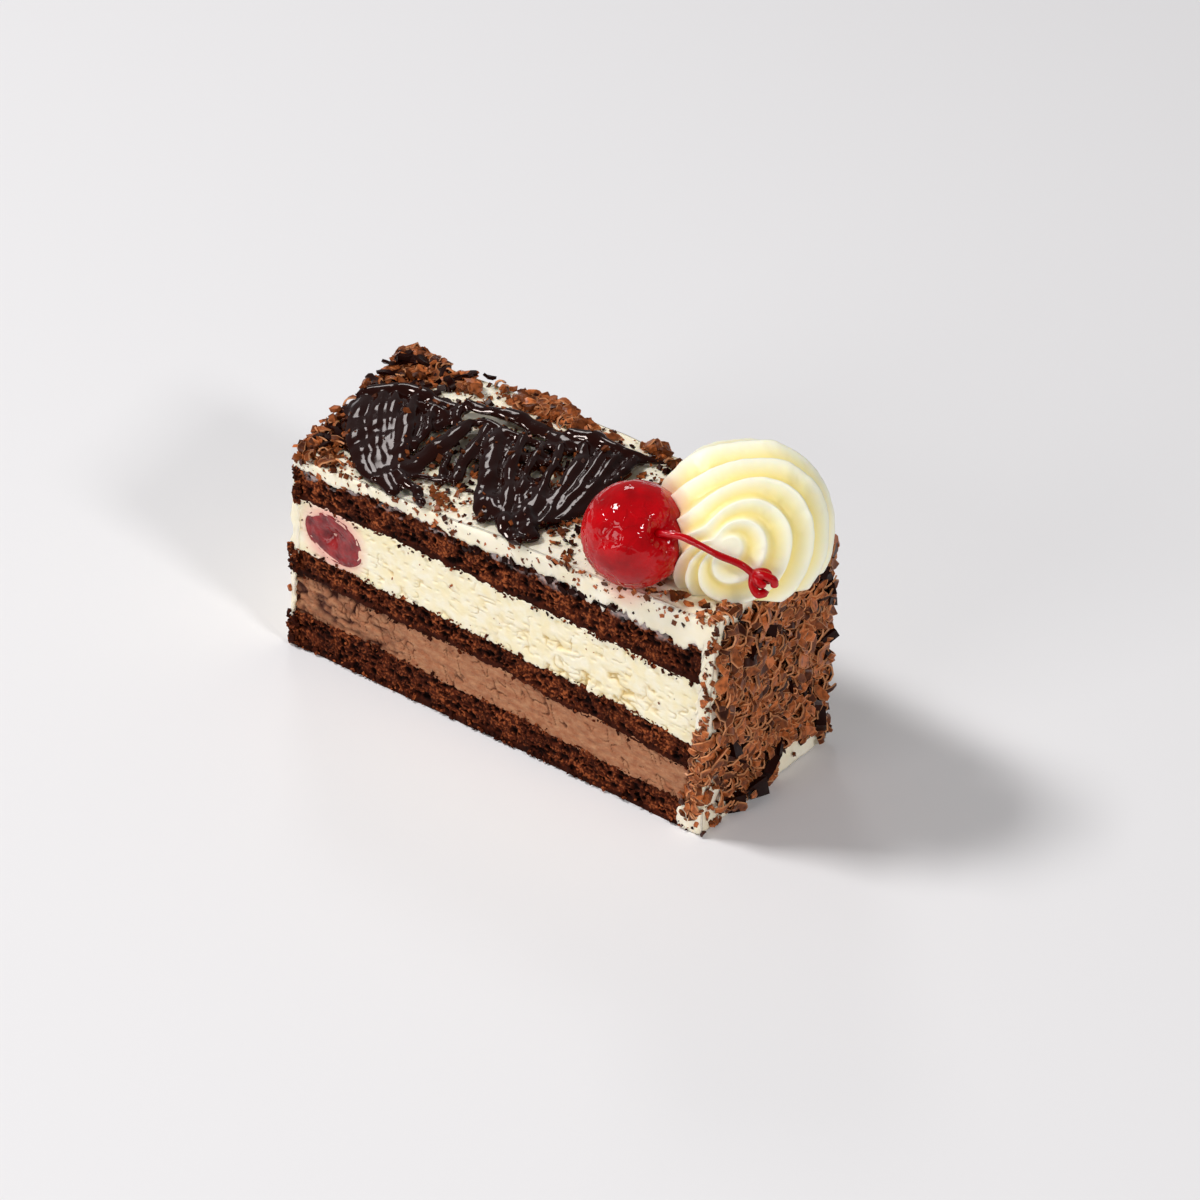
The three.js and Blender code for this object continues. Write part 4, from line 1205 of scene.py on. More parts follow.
def lace_body():
    """The chocolate lace: its strands, sheets, threads and small loops, fused in one skin.

    The strands are made too thick, fused, and drawn back along the skin's normals by as much, so
    that a fillet stays wherever two of them meet, as it does in poured chocolate.
    """
    random = np.random.default_rng(LACE_SEED)
    bodies = [
        strand_body(route, widths, rise, 2.0, k) for k, (route, widths, rise) in enumerate(LACE)
    ]
    bodies += [
        strand_body(route, widths, 0.4, 1.6, 90 + k) for k, (route, widths) in enumerate(SHEETS)
    ]
    bodies += thread_bodies(random)
    bodies += ring_bodies(random)
    points, faces = joined(bodies)
    points, triangles = fused(points, faces, LACE_VOXEL, 7)
    points = points - normals_of(points, triangles) * FILLET
    ripple = 0.22 * rough(points * np.array([1.0, 0.35, 1.0]), 3.6, 139, 2) - 0.05
    points = points + normals_of(points, triangles) * ripple[:, None]
    points[:, 2] = np.maximum(points[:, 2], icing_height(points[:, 0], points[:, 1]) - SINK)
    return points, triangles


def rosette_reach(way):
    """Distance from the rosette's center to its smooth outline: a superellipsoid, with a bulge
    that falls off with the angle from its shoulder."""
    flat = np.hypot(way[:, 0], way[:, 1]) / ROSETTE_RADIUS
    tall = np.abs(way[:, 2]) / np.where(way[:, 2] > 0, ROSETTE_ABOVE, ROSETTE_BELOW)
    power = ROSETTE_SQUARENESS
    off = np.arccos(np.clip(way @ unit(ROSETTE_SHOULDER), -1.0, 1.0))
    bulge = SHOULDER_SIZE * np.exp(-((off / 0.6) ** 2))
    return (flat**power + tall**power) ** (-1 / power) + bulge


def ridge_polar(phase, azimuth):
    """Angle from the eye of a ridge's phase, and how wide the ridge is there, at most 1: ridges
    widen outwards, and towards the cherry they draw together at the eye by a higher power."""
    share = np.clip(phase / ROSETTE_TURNS, 0.0, 1.0)
    gathered = (0.5 + 0.5 * np.cos(azimuth - ROSETTE_GATHER)) ** 3
    flared = (0.5 - 0.5 * np.cos(azimuth - ROSETTE_GATHER + math.radians(80))) ** 3
    power = 1.0 + 0.9 * gathered - 0.25 * flared
    reached = 0.66 * share + 0.34 * share**2
    return np.pi * reached**power, np.minimum(1.0, power * reached ** (power - 1.0))


def fitted(points):
    """Points of the rosette kept from sinking deep into the icing and from entering the cherry,
    which lies in a dent of it."""
    floor = icing_height(points[:, 0], points[:, 1]) - SINK
    points[:, 2] = np.maximum(points[:, 2], floor)
    away = points - CHERRY_CENTER
    gap = np.linalg.norm(away, axis=1)
    dent = np.maximum(gap, CHERRY_RADIUS * 0.97) / np.maximum(gap, 1e-6)
    return CHERRY_CENTER + away * dent[:, None]


def rosette_body():
    """The piped swirl: a grid that winds out from the eye along the ridges of a star nozzle.

    A point's row gives its phase, so that ridges follow the rows. Going once round the eye, the
    phase shifts by the number of starts, mostly on the side of the foot by the cherry. The reach
    is the smooth outline less a round valley between sharp crests, with the steep side inwards.
    """
    per_ridge, spokes = 16, 260
    rows = int(ROSETTE_TURNS * per_ridge) + ROSETTE_STARTS * per_ridge
    row, spoke = np.meshgrid(np.arange(rows + 1), np.arange(spokes + 1), indexing="ij")
    row, spoke = row.ravel(), spoke.ravel()
    turn = spoke / spokes
    shift = turn - 0.75 * np.sin(2 * np.pi * turn) / (2 * np.pi)
    phase = row / per_ridge + ROSETTE_STARTS * (shift - 1.0)
    azimuth = 2 * np.pi * turn + ROSETTE_SEAM
    polar, breadth = ridge_polar(phase, azimuth)
    local = np.stack(
        [np.sin(polar) * np.cos(azimuth), np.sin(polar) * np.sin(azimuth), np.cos(polar)], axis=-1
    )
    eye = unit(RIDGE_EYE)
    upward = unit(np.array([0.0, 0.0, 1.0]) - eye * eye[2])
    way = local @ np.stack([np.cross(upward, eye), upward, eye])
    crest = np.abs(2.0 * ((row % per_ridge) / per_ridge) ** RIDGE_SKEW - 1.0)
    valley = 1.0 - np.minimum(crest, RIDGE_CUT) ** 1.5 / RIDGE_CUT**1.5
    outline = rosette_reach(way)
    wobble = 0.5 * rough(way * 18.0, 9.0, 149, 2) + 0.12 * rough(way * 18.0, 1.8, 151, 2)
    fade = ease(polar, 0.04, 0.3) * (1.0 - ease(polar, np.pi - 0.3, np.pi - 0.02))
    depth = (0.9 + 1.2 * ease(polar, 0.2, 1.0)) * breadth
    reach = outline - (depth * valley - wobble) * fade + 0.15
    points = fitted(way * reach[:, None] + ROSETTE_CENTER)
    quads = grid_quads(np.arange(len(points)).reshape(rows + 1, spokes + 1))
    # The depth of the grooves rides through the weld as a fourth, scaled coordinate.
    points, triangles = welded(np.column_stack([points, valley * fade * 0.1]), quads)
    return points[:, :3], triangles, points[:, 3] * 10.0


def fruit_body():
    """The candied cherry: a squat ball with a dimple at the stem. Its skin is drawn into flat
    facets with fine folds between them, where the two nearest seeds are as far away."""
    cube, quads = cube_skin(108)
    ball = unit(np.tan(cube * np.pi / 4 * 0.999))
    axis = unit(CHERRY_AXIS)
    polar = np.arccos(np.clip(ball @ axis, -1.0, 1.0))
    dimple = 2.3 * np.exp(-((polar / 0.27) ** 2))
    skin = ball * CHERRY_RADIUS
    bent = skin + 0.8 * shifts(skin, 2.5, 150)
    near, second = seed_distances(bent, 3.1, 157)
    fold = np.exp(-(((second - near) / 0.08) ** 2))
    worn = ease(rough(skin, 5.0, 161, 2), -0.35, 0.35) + 0.8 * np.exp(-((polar / 0.7) ** 2))
    facets = 0.38 * near + 0.14 * rough(skin, 2.0, 163, 2)
    reach = CHERRY_RADIUS - dimple - facets * np.minimum(worn, 1.2) + 0.14 * fold * worn - 0.1
    squat = ball * reach[:, None]
    along = squat @ axis
    return squat - np.outer(along * 0.02, axis) + CHERRY_CENTER, quads


def stem_body():
    """The stem and its frayed tip: a tube along the route and curled tubes round its end."""
    count, petal_count = 70, 22
    path = curve_points(STEM_ROUTE, count)
    share = np.linspace(0, 1, count)
    line = np.stack([share * 20.0, np.zeros(count), np.zeros(count)], axis=-1)
    root = 0.25 * np.exp(-((share / 0.1) ** 2))
    radii = STEM_RADIUS * (1.0 + 0.08 * rough(line, 2.0, 167, 2) + root)
    bodies = [tube(path, radii, 16)]
    tip = np.array(STEM_ROUTE[-1])
    onwards = unit(tip - np.array(STEM_ROUTE[-2]))
    aside = unit(np.cross([0.0, 0.0, 1.0], onwards))
    upwards = np.cross(onwards, aside)
    for k in range(PETALS):
        turn = 2 * np.pi * k / PETALS
        out = aside * math.cos(turn) + upwards * math.sin(turn)
        reach = PETAL_LENGTH * (0.8 + 0.25 * math.sin(3.7 * k))
        route = [
            tip - onwards * 0.6,
            tip + out * 0.42 * reach + onwards * 0.15 * reach,
            tip + out * 0.62 * reach + onwards * 0.62 * reach,
            tip + out * 0.36 * reach + onwards * 0.9 * reach,
        ]
        petal = curve_points(route, petal_count)
        radii = PETAL_RADIUS * np.linspace(0.95, 1.05, petal_count)
        bodies.append(tube(petal, radii, 12, upright=out + 0.01))
    points, faces = joined(bodies)
    return fused(points, faces, STEM_VOXEL, 2)


# ---- settings -------------------------------------------------------------------------------


def color_setting(name, description, code):
    """A colour property whose default is an sRGB hex code turned to linear."""
    return bpy.props.FloatVectorProperty(
        name=name, description=description, subtype="COLOR", size=3, min=0.0, max=1.0,
        default=linear(code),
    )


class CakeColors(bpy.types.PropertyGroup):
    """Colours of the slice and of the stage."""

    # Painted shade in the pores, and the sponge's own darker baked skin and crumbs.
    sponge_dark_and_pore_shade: color_setting("Sponge, pores", "Sponge colour down in its pores", "#120200")
    sponge_mid: color_setting("Sponge, dark", "Darker patches of the cut crumb", "#351004")
    sponge_light: color_setting("Sponge", "Sponge colour on the cut crumb", "#56200C")
    # Painted highlight on the thin proud edges of the crumb.
    sponge_edge_highlight: color_setting("Sponge, edges", "Sponge colour on thin lit edges", "#A2552E")
    smear: color_setting("Smear", "Icing dragged over the sponge", "#D9CDCB")
    cream: color_setting("Cream", "Colour of the set cream", "#FDF3DA")
    cream_deep: color_setting("Cream, torn", "Colour of the cream in its tears", "#FAEBC2")
    # Painted shade in the cream's tears and hollows.
    cream_tear_shade: color_setting("Cream, tears", "Cream down in its tears", "#EBD194")
    mousse: color_setting("Mousse", "Colour of the chocolate mousse", "#A06342")
    mousse_light: color_setting("Mousse, smeared", "Mousse where the knife pressed", "#BA8762")
    # Painted shade in the mousse's tears and cracks.
    mousse_tear_shade: color_setting("Mousse, torn", "Mousse colour in its tears", "#4A2012")
    icing: color_setting("Icing", "Colour of the icing", "#FEF4E0")
    icing_deep: color_setting("Icing, thick", "Icing colour where it lies thick", "#FAECCD")
    milk_light: color_setting("Milk chocolate", "Light shavings", "#CA6F3A")
    # The chips' own darker tone, and the painted shade of the crumbs under the curls on the rosette
    # end.
    milk_dark_and_shade: color_setting("Milk chocolate, dark", "Dark shavings", "#2A0901")
    # Painted highlight on the rims of the shavings.
    milk_rim_highlight: color_setting("Milk chocolate, rims", "Thin rims of the shavings", "#F0A976")
    dark: color_setting("Dark chocolate", "Colour of the lace and dark chunks", "#1E0502")
    rosette: color_setting("Rosette", "Colour of the piped ridges", "#FFF9DF")
    # Painted shade down in the grooves.
    rosette_groove_shade: color_setting("Rosette, grooves", "Colour down in the grooves", "#FFE896")
    cherry: color_setting("Cherry", "Colour of the candied cherry", "#C2000C")
    cherry_deep: color_setting("Cherry, deep", "Darker patches of the cherry", "#8C0006")
    flesh: color_setting("Cut cherry", "Colour of the cut cherry's flesh", "#9C2426")
    flesh_deep: color_setting("Cut cherry, deep", "Darker flesh of the cut cherry", "#680F15")
    stain: color_setting("Cherry stain", "Colour of cream that touches a cherry", "#F0B9A8")
    floor: color_setting("Floor", "Colour of the studio floor", "#E9E7E8")


class CakeSizes(bpy.types.PropertyGroup):
    """Counts and sizes that a user may change."""

    end_shavings: bpy.props.IntProperty(
        name="End shavings", description="Large curls on the rosette end", default=330, min=0
    )
    end_crumbs: bpy.props.IntProperty(
        name="End crumbs", description="Crumbs under the curls on the rosette end",
        default=1500, min=0,
    )
    top_crumbs: bpy.props.IntProperty(
        name="Top crumbs", description="Crumbs strewn over the top", default=900, min=0
    )
    lens: bpy.props.FloatProperty(
        name="Lens", description="Focal length of the camera", default=102.0, min=10.0,
        unit="CAMERA",
    )
    camera_distance: bpy.props.FloatProperty(
        name="Camera distance", description="From the camera to its target", default=0.738,
        min=0.1, unit="LENGTH", subtype="DISTANCE",
    )


# ---- operators ------------------------------------------------------------------------------


class CakeBuilder(bpy.types.Operator):
    """Common ground of the operators that build the slice."""

    bl_options = {"REGISTER", "UNDO"}

    def execute(self, context):
        """Runs the operator's own build with the scene's settings."""
        self.build(context.scene.cake_sizes, context.scene.cake_colors)
        return {"FINISHED"}


class CAKE_OT_sponges(CakeBuilder):
    """Build the three chocolate sponges"""

    bl_idname = "cake.sponges"
    bl_label = "Sponges"

    def build(self, sizes, colors):
        """Each sponge over its CAD node, darker on its baked skin, the top one with smears."""
        material = chocolate_sponge(colors)
        layers = (
            ("sponge_bottom", "table", 44),
            ("sponge_middle", "mousse_layer", 34),
            ("sponge_top", "cream_layer", 44),
        )
        for node, lower, rows in layers:
            points, quads, relief, smear, share = layer_body(
                lower, node, (560, 8, rows), crumb_depth, fray=0.3, overlap=(0.2, 0.15)
            )
            skin = 0.35 * (1.0 - ease(share, 0.1, 0.24))
            looks = {"relief": relief + skin, "smear": smear * (node == "sponge_top")}
            make_piece(node + "_crumb", points, quads, material, "sponge", [node], looks)
        self.add_crumbs(material)

    def add_crumbs(self, material):
        """Crumbs that the knife pulled out: over the plain end's edge beside the sponges, on
        their cut faces, along the seams of the layers and along the foot."""
        random = np.random.default_rng(SPONGE_CRUMB_SEED)
        front = np.array([0.0, -1.0, 0.0])

        def strewn(count, sizes, lengthwise, level, low, high, lift):
            """Crumbs within shares of the length, from low to high millimetres over a level."""
            along = mix(-LENGTH / 2, LENGTH / 2, random.uniform(*lengthwise, count))
            height = level_height(level, along, 0.0) + random.uniform(low, high, count)
            places = place(along, np.zeros(count), height)
            forms = crumb_shapes(random, count, sizes, 0.8)
            return chip_body(random, forms, (places, np.tile(front, (count, 1))), lift, 0.6)

        on_cut = (0.0, 0.97)
        bodies = [strewn(130, (0.6, 1.8), (0.0, 1.0), "table", 0.2, 1.6, (-0.2, 0.3))]
        for level, reach in (("sponge_bottom", 8.6), ("sponge_middle", 6.2), ("sponge_top", 8.8)):
            nearest = 0.008 if level == "sponge_top" else -0.003
            edge = (nearest, 0.016)
            bodies.append(strewn(85, (0.8, 2.3), edge, level, -reach, 0.1, (-0.1, 0.6)))
            bodies.append(strewn(70, (0.5, 1.5), on_cut, level, -reach, 0.2, (-0.2, 0.2)))
        for level in ("sponge_bottom", "mousse_layer", "sponge_middle", "cream_layer"):
            bodies.append(strewn(80, (0.4, 1.4), on_cut, level, -0.7, 0.7, (-0.1, 0.15)))
        points, faces, looks = joined_chips(bodies)
        relief = {"relief": 0.1 + 0.7 * looks["shade"]}
        make_piece("sponge_crumbs", points, faces, material, "sponge", (), relief, CHIP_SHARP)


class CAKE_OT_fillings(CakeBuilder):
    """Build the chocolate mousse, the cream and the cut cherry in it"""

    bl_idname = "cake.fillings"
    bl_label = "Fillings"

    def build(self, sizes, colors):
        """The two layers, each over its CAD node, and the cherry piece in the upper one."""
        points, quads, relief, _, _ = layer_body(
            "sponge_bottom", "mousse_layer", (500, 8, 44), mousse_depth, fray=0.32,
            overlap=(0.3, 0.25),
        )
        make_piece(
            "mousse_filling", points, quads, chocolate_mousse(colors), "mousse", ["mousse_layer"],
            {"relief": relief},
        )
        points, quads, relief, _, _ = layer_body(
            "sponge_middle", "cream_layer", (520, 8, 64), cream_depth, fray=0.32,
            overlap=(0.35, 0.25),
        )
        make_piece(
            "cream_filling", points, quads, set_cream(colors), "cream", ["cream_layer"],
            {"relief": relief},
        )
        points, quads = piece_body()
        make_piece(
            "cut_cherry", *welded(points, quads), cut_cherry(colors), "cherry_flesh",
            ["cherry_in_cream"],
        )


class CAKE_OT_icing(CakeBuilder):
    """Build the icing over the top and both ends"""

    bl_idname = "cake.icing"
    bl_label = "Icing"

    def build(self, sizes, colors):
        """The icing as one bent strip over its CAD node."""
        points, quads = coat_body()
        make_piece("icing", points, quads, butter_icing(colors), "icing", ["icing_coat"])


class CAKE_OT_chips(CakeBuilder):
    """Strew the shavings, crumbs and chunks of chocolate"""

    bl_idname = "cake.chips"
    bl_label = "Chocolate chips"

    def build(self, sizes, colors):
        """The chips, drawn from one generator in a fixed order."""
        random = np.random.default_rng(CHIP_SEED)
        milk = milk_chocolate(colors)
        self.cover_end(random, sizes, milk)
        self.strew_top(random, sizes, milk)
        self.strew_front(random, milk)
        self.add_chunks(random, dark_chocolate(colors, "dark_chocolate_chunks", 0.27))

    def cover_end(self, random, sizes, milk):
        """The rosette end: crumbs under the curls, made dark as painted shade, small curls over
        them, large curls and leaves on top, crumbs on its bare icing and curls along its upper
        edge."""
        few, many = sizes.end_shavings, sizes.end_crumbs
        ground = crumb_shapes(random, many, sizes=(0.8, 2.4))
        small = shaving_shapes(
            random, 3 * few, lengths=(2.6, 5.0), widths=(0.9, 1.8), thickness=0.3, bends=(2.2, 5.2)
        )
        large = shaving_shapes(
            random, few, lengths=(4.5, 8.5), widths=(1.4, 3.0), thickness=0.36, bends=(1.6, 4.6)
        )
        leaves = flake_shapes(random, few // 5, sizes=(3.4, 6.6), thickness=0.4)

        def cover(forms, count, lift, tilt):
            """A body of chips that leaves the bare icing free."""
            return chip_body(random, forms, end_spots(random, count, 1, bare_icing), lift, tilt)

        under = cover(ground, many, lift=(0.0, 0.5), tilt=0.5)
        # Painted shade: the crumbs under the curls get almost no share of the light colour, so they
        # stand dark in the hollows between the curls.
        under[2][:, 0] *= 0.04  # their shade
        bodies = [
            under,
            cover(small, 3 * few, lift=(0.2, 1.3), tilt=1.3),
            cover(large, few, lift=(0.4, 1.5), tilt=1.1),
            cover(leaves, few // 5, lift=(1.0, 2.1), tilt=0.5),
            chip_body(
                random,
                crumb_shapes(random, 120, sizes=(0.5, 2.2)),
                end_spots(random, 120, 1),
                lift=(0.0, 0.6), tilt=0.4,
            ),
            chip_body(
                random,
                crumb_shapes(random, 60, sizes=(0.5, 2.6), flatness=0.6, detail=2),
                on_end(1, random.uniform(0.0, 0.3, 60), random.uniform(0.5, 12.0, 60)),
                lift=(0.0, 0.5), tilt=0.5,
            ),
            chip_body(
                random,
                shaving_shapes(
                    random, 110, lengths=(2.4, 5.4), widths=(1.0, 2.2), thickness=0.34,
                    bends=(1.6, 4.4),
                ),
                top_spots(random, 110, (0.975, 1.005), (0.0, 1.0), margin=-30.0),
                lift=(-0.6, 0.9), tilt=1.1,
            ),
        ]
        make_chips("end_shavings", bodies, milk, "icing")

    def strew_top(self, random, sizes, milk):
        """Crumbs over the top: many in the lace's gaps, heaps of crumbs, curls and flakes along
        the back edge and at the plain end, few elsewhere, and some on the plain end itself."""

        def clustered(share, across):
            """Share of places that are kept in the heaps: slow noise with an eased threshold."""
            where = np.column_stack([share * LENGTH, across * WIDTH_LEFT, np.zeros(len(share))])
            return ease(rough(where, 7.0, 191, 2), -0.5, 0.35)

        def thinning(share, across):
            """Share of places that are kept elsewhere: more to the back and at the plain end."""
            back = 0.5 * ease(across, 0.8, 0.96) * clustered(share, across)
            end = 1.0 - ease(share, 0.0, 0.13)
            return np.clip(0.2 + back + end, 0.0, 1.0)

        count = sizes.top_crumbs
        bodies = [
            chip_body(
                random,
                crumb_shapes(random, count, sizes=(0.6, 2.8)),
                top_spots(random, count, (0.0, 1.0), (0.0, 1.0), 0.3, thinning),
                lift=(0.0, 0.5), tilt=0.5,
            ),
            chip_body(
                random,
                crumb_shapes(random, 420, sizes=(0.8, 2.4)),
                top_spots(random, 420, (0.02, 0.64), (0.05, 0.9), margin=-1.2),
                lift=(-0.1, 0.9), tilt=0.6,
            ),
            chip_body(
                random,
                crumb_shapes(random, 200, sizes=(1.6, 4.4), flatness=0.8, detail=2),
                top_spots(random, 200, (0.0, 0.74), (0.88, 1.0), 1.0, clustered),
                lift=(0.2, 1.8), tilt=0.7,
            ),
            chip_body(
                random,
                shaving_shapes(
                    random, 80, lengths=(3.0, 6.0), widths=(1.4, 2.8), thickness=0.4,
                    bends=(1.2, 3.6),
                ),
                top_spots(random, 80, (-0.01, 0.72), (0.89, 1.01), 1.0, clustered),
                lift=(0.5, 2.2), tilt=0.8,
            ),
            chip_body(
                random,
                flake_shapes(random, 60, sizes=(2.0, 4.6), thickness=0.5),
                top_spots(random, 60, (-0.01, 0.72), (0.87, 1.0), 1.0, clustered),
                lift=(0.3, 2.0), tilt=0.6,
            ),
            chip_body(
                random,
                crumb_shapes(random, 170, sizes=(1.4, 3.6)),
                top_spots(random, 170, (-0.005, 0.085), (0.02, 1.0), margin=0.6),
                lift=(0.2, 1.9), tilt=0.7,
            ),
            chip_body(
                random,
                shaving_shapes(
                    random, 70, lengths=(2.4, 5.0), widths=(1.4, 2.6), thickness=0.36,
                    bends=(0.8, 3.2),
                ),
                top_spots(random, 70, (-0.01, 0.1), (0.02, 1.0), margin=0.6),
                lift=(0.5, 2.0), tilt=0.8,
            ),
            chip_body(
                random,
                crumb_shapes(random, 560, sizes=(0.35, 1.5)),
                top_spots(random, 560, (0.01, 0.99), (0.0, 0.97), margin=0.1),
                lift=(0.0, 0.15), tilt=0.4,
            ),
            chip_body(
                random,
                crumb_shapes(random, 90, sizes=(1.0, 2.8)),
                end_spots(random, 90, -1),
                lift=(0.1, 0.5), tilt=0.4,
            ),
        ]
        make_chips("top_crumbs", bodies, milk, "icing")

    def strew_front(self, random, milk):
        """Specks and crumbs that the knife dragged over the front: on the icing's edge, fewer
        on the layers, and shavings and crumbs at the edge of the rosette end."""
        bodies = [
            chip_body(
                random,
                crumb_shapes(random, 230, sizes=(0.35, 2.0), flatness=0.5),
                front_spots(random, 230, (0.0, 1.0), low=-0.1, high=3.6),
                lift=(0.0, 0.2), tilt=0.3,
            ),
            chip_body(
                random,
                crumb_shapes(random, 36, sizes=(0.25, 0.9), flatness=0.5),
                front_spots(random, 36, (0.0, 1.0), low=12.0, high=26.0),
                lift=(-0.1, 0.0), tilt=0.3,
            ),
            chip_body(
                random,
                shaving_shapes(
                    random, 66, lengths=(2.0, 4.6), widths=(1.0, 2.0), thickness=0.36,
                    bends=(1.6, 4.0),
                ),
                front_spots(random, 66, (0.978, 1.0), low=27.0, high=50.0),
                lift=(0.1, 0.7), tilt=0.9,
            ),
            chip_body(
                random,
                crumb_shapes(random, 60, sizes=(0.8, 2.4), flatness=0.7),
                front_spots(random, 60, (0.985, 1.004), low=2.0, high=30.0),
                lift=(0.0, 0.4), tilt=0.6,
            ),
            chip_body(
                random,
                crumb_shapes(random, 26, sizes=(0.5, 2.2), flatness=0.6, detail=2),
                front_spots(random, 26, (0.96, 1.004), low=39.0, high=52.0),
                lift=(0.0, 0.3), tilt=0.5,
            ),
        ]
        make_chips("front_specks", bodies, milk, "icing")

    def add_chunks(self, random, dark):
        """Dark chocolate: chunks on the rosette end, curls and flakes at the plain end, and
        crumbs in the lace's gaps and under the icing's front edge."""
        chunks = crumb_shapes(random, len(CHUNK_SPOTS), sizes=(5.2, 8.4))
        small = crumb_shapes(random, 26, sizes=(1.8, 3.6), flatness=0.8)
        curls = shaving_shapes(
            random, 26, lengths=(3.5, 7.0), widths=(1.8, 3.0), thickness=0.6, bends=(0.6, 2.4)
        )
        curl_spots = top_spots(random, 26, (0.0, 0.16), (0.1, 0.95), margin=0.8)
        back = flake_shapes(random, 9, sizes=(3.5, 6.0), thickness=0.7)
        back_spots = top_spots(random, 9, (-0.01, 0.2), (0.7, 1.0), margin=0.8)
        corner = flake_shapes(random, 2, sizes=(9.0, 12.0), thickness=0.9)
        corner_spots = top_spots(random, 2, (0.01, 0.05), (0.86, 0.9), margin=0.8)
        gaps = crumb_shapes(random, 200, sizes=(0.8, 2.6), flatness=0.8)
        gap_spots = top_spots(random, 200, (0.02, 0.66), (0.1, 0.86), margin=-2.2)
        edge = crumb_shapes(random, 24, sizes=(1.2, 3.0), flatness=0.6)
        edge_spots = front_spots(random, 24, (0.4, 0.98), low=4.6, high=6.4)
        across, heights = np.array(CHUNK_SPOTS).T
        bodies = [
            chip_body(random, corner, corner_spots, lift=(1.2, 2.2), tilt=0.2),
            chip_body(random, gaps, gap_spots, lift=(-0.1, 0.9), tilt=0.6),
            chip_body(random, edge, edge_spots, lift=(-0.1, 0.15), tilt=0.4),
            chip_body(random, chunks, on_end(1, across, heights), lift=(0.8, 1.6), tilt=0.5),
            chip_body(
                random, small, end_spots(random, 26, 1, bare_icing), lift=(0.6, 1.4), tilt=0.4
            ),
            chip_body(random, curls, curl_spots, lift=(0.5, 2.0), tilt=0.5),
            chip_body(random, back, back_spots, lift=(0.8, 2.4), tilt=0.4),
        ]
        make_chips("dark_chunks", bodies, dark, "dark_chocolate")


class CAKE_OT_lace(CakeBuilder):
    """Build the lace of dark chocolate"""

    bl_idname = "cake.lace"
    bl_label = "Chocolate lace"

    def build(self, sizes, colors):
        """The lace over its CAD node, and the crumbs on it."""
        points, triangles = lace_body()
        material = dark_chocolate(colors, "dark_chocolate_lace", 0.06)
        make_piece("lace", points, triangles, material, "dark_chocolate", ["chocolate_lace"])
        milk = milk_chocolate(colors, "lace_crumbs")
        self.add_crumbs(points, normals_of(points, triangles), milk)

    def add_crumbs(self, points, normals, milk):
        """Small crumbs that stick to the upper side of the lace."""
        random = np.random.default_rng(LACE_CRUMB_SEED)
        count = 90
        upper = np.nonzero(normals[:, 2] > 0.2)[0]
        chosen = random.choice(upper, count, replace=False)
        crumbs = crumb_shapes(random, count, sizes=(0.5, 2.2), flatness=0.8)
        spots = (points[chosen], normals[chosen])
        body = chip_body(random, crumbs, spots, lift=(0.0, 0.15), tilt=0.5)
        body[2][:, 0] *= 0.5  # their shade
        make_chips("lace_crumbs", [body], milk, "icing")


class CAKE_OT_rosette(CakeBuilder):
    """Build the piped rosette"""

    bl_idname = "cake.rosette"
    bl_label = "Rosette"

    def build(self, sizes, colors):
        """The rosette over its CAD node, with the depth of its grooves for their painted shade."""
        points, triangles, groove = rosette_body()
        make_piece(
            "rosette", points, triangles, piped_cream(colors), "piped_cream", ["cream_rosette"],
            {"relief": groove},
        )


class CAKE_OT_cherry(CakeBuilder):
    """Build the candied cherry and its stem"""

    bl_idname = "cake.cherry"
    bl_label = "Cherry"

    def build(self, sizes, colors):
        """The fruit over the cherry's CAD node, and the stem of the same node."""
        material = candied_cherry(colors)
        points, quads = fruit_body()
        make_piece("fruit", points, quads, material, "candied_cherry", ["cherry"])
        points, triangles = stem_body()
        make_piece("stem", points, triangles, material, "candied_cherry")


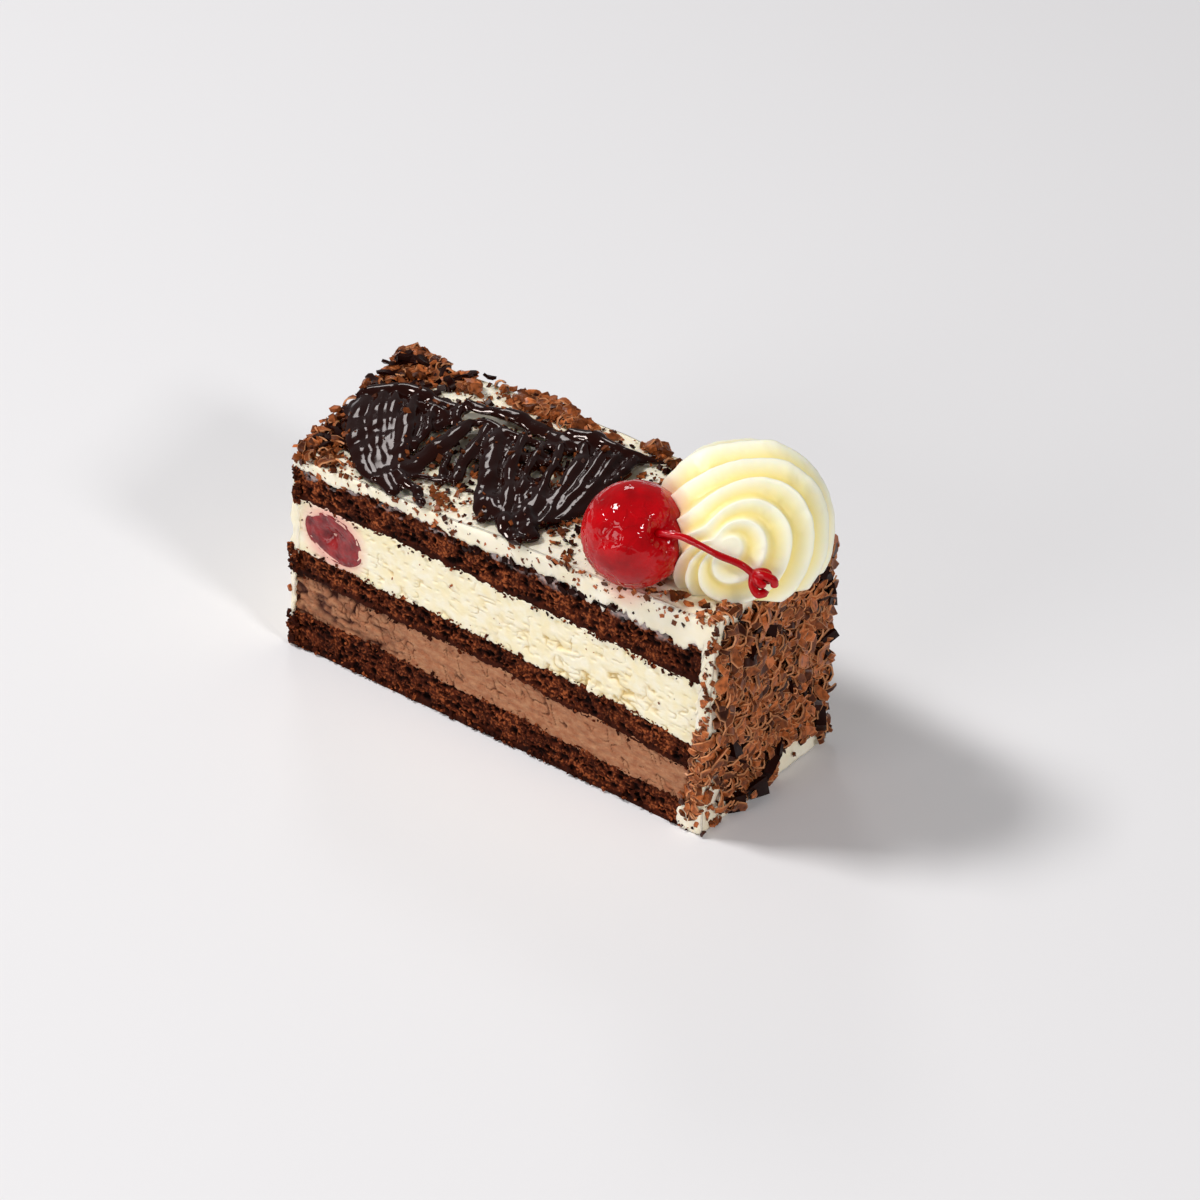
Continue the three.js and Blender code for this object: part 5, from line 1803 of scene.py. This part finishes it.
class CAKE_OT_stage(CakeBuilder):
    """Build the floor, the light and the camera"""

    bl_idname = "cake.stage"
    bl_label = "Stage"

    def build(self, sizes, colors):
        """The floor, four soft lights in a pale surround, and the camera."""
        self.add_floor(colors)
        for light in LIGHTS:
            self.add_light(*light)
        self.add_world()
        self.add_camera(sizes)
        bpy.context.scene.view_settings.view_transform = "Standard"

    def add_floor(self, colors):
        """A large flat square just under the slice."""
        corners = np.array([[-1.0, -1.0, 0.0], [1.0, -1.0, 0.0], [1.0, 1.0, 0.0], [-1.0, 1.0, 0.0]])
        corners = corners * FLOOR_HALF
        mesh = bpy.data.meshes.new("floor")
        mesh.from_pydata((corners * MM).tolist(), [], [(0, 1, 2, 3)])
        mesh.materials.append(matt_floor(colors))
        floor = bpy.data.objects.new("floor", mesh)
        bpy.context.scene.collection.objects.link(floor)

    def add_light(self, name, place_m, size_m, watts):
        """A square soft light that faces the slice."""
        light = bpy.data.lights.new(name, "AREA")
        light.size = size_m
        light.energy = watts
        holder = bpy.data.objects.new(name, light)
        holder.location = place_m
        towards = Vector(LIT_POINT) - Vector(place_m)
        holder.rotation_euler = towards.to_track_quat("-Z", "Y").to_euler()
        bpy.context.scene.collection.objects.link(holder)

    def add_world(self):
        """An even pale surround."""
        world = bpy.data.worlds.new("surround")
        world.use_nodes = True
        background = world.node_tree.nodes["Background"]
        background.inputs["Color"].default_value = SURROUND_COLOR
        background.inputs["Strength"].default_value = SURROUND_STRENGTH
        bpy.context.scene.world = world

    def add_camera(self, sizes):
        """A long lens that looks down on the front cut and the rosette end."""
        level = math.cos(CAMERA_TILT)
        back = Vector(
            (math.sin(CAMERA_TURN) * level, -math.cos(CAMERA_TURN) * level, math.sin(CAMERA_TILT))
        )
        camera = bpy.data.cameras.new("camera")
        camera.lens = sizes.lens
        camera.sensor_width = SENSOR_WIDTH
        holder = bpy.data.objects.new("camera", camera)
        holder.location = Vector(CAMERA_TARGET) + back * sizes.camera_distance
        holder.rotation_euler = (-back).to_track_quat("-Z", "Y").to_euler()
        bpy.context.scene.collection.objects.link(holder)
        bpy.context.scene.camera = holder


class CAKE_PT_slice(bpy.types.Panel):
    """The slice's builders in the sidebar"""

    bl_idname = "CAKE_PT_slice"
    bl_label = "Black forest cake slice"
    bl_space_type = "VIEW_3D"
    bl_region_type = "UI"
    bl_category = "Cake slice"

    def draw(self, context):
        """A button for each builder, then the settings."""
        for operator in BUILDERS:
            self.layout.operator(operator.bl_idname)
        for settings in (context.scene.cake_sizes, context.scene.cake_colors):
            for key in settings.__annotations__:
                self.layout.prop(settings, key)


BUILDERS = (
    CAKE_OT_sponges,
    CAKE_OT_fillings,
    CAKE_OT_icing,
    CAKE_OT_chips,
    CAKE_OT_lace,
    CAKE_OT_rosette,
    CAKE_OT_cherry,
    CAKE_OT_stage,
)


def register():
    """Registers the settings, the operators and the panel."""
    for group in (CakeColors, CakeSizes, *BUILDERS, CAKE_PT_slice):
        bpy.utils.register_class(group)
    bpy.types.Scene.cake_colors = bpy.props.PointerProperty(type=CakeColors)
    bpy.types.Scene.cake_sizes = bpy.props.PointerProperty(type=CakeSizes)


def unregister():
    """Takes back what register did."""
    del bpy.types.Scene.cake_sizes
    del bpy.types.Scene.cake_colors
    for group in reversed((CakeColors, CakeSizes, *BUILDERS, CAKE_PT_slice)):
        bpy.utils.unregister_class(group)


def main():
    """Builds the slice and the stage."""
    register()
    bpy.ops.cake.sponges()
    bpy.ops.cake.fillings()
    bpy.ops.cake.icing()
    bpy.ops.cake.chips()
    bpy.ops.cake.lace()
    bpy.ops.cake.rosette()
    bpy.ops.cake.cherry()
    bpy.ops.cake.stage()


if __name__ == "__main__":
    main()
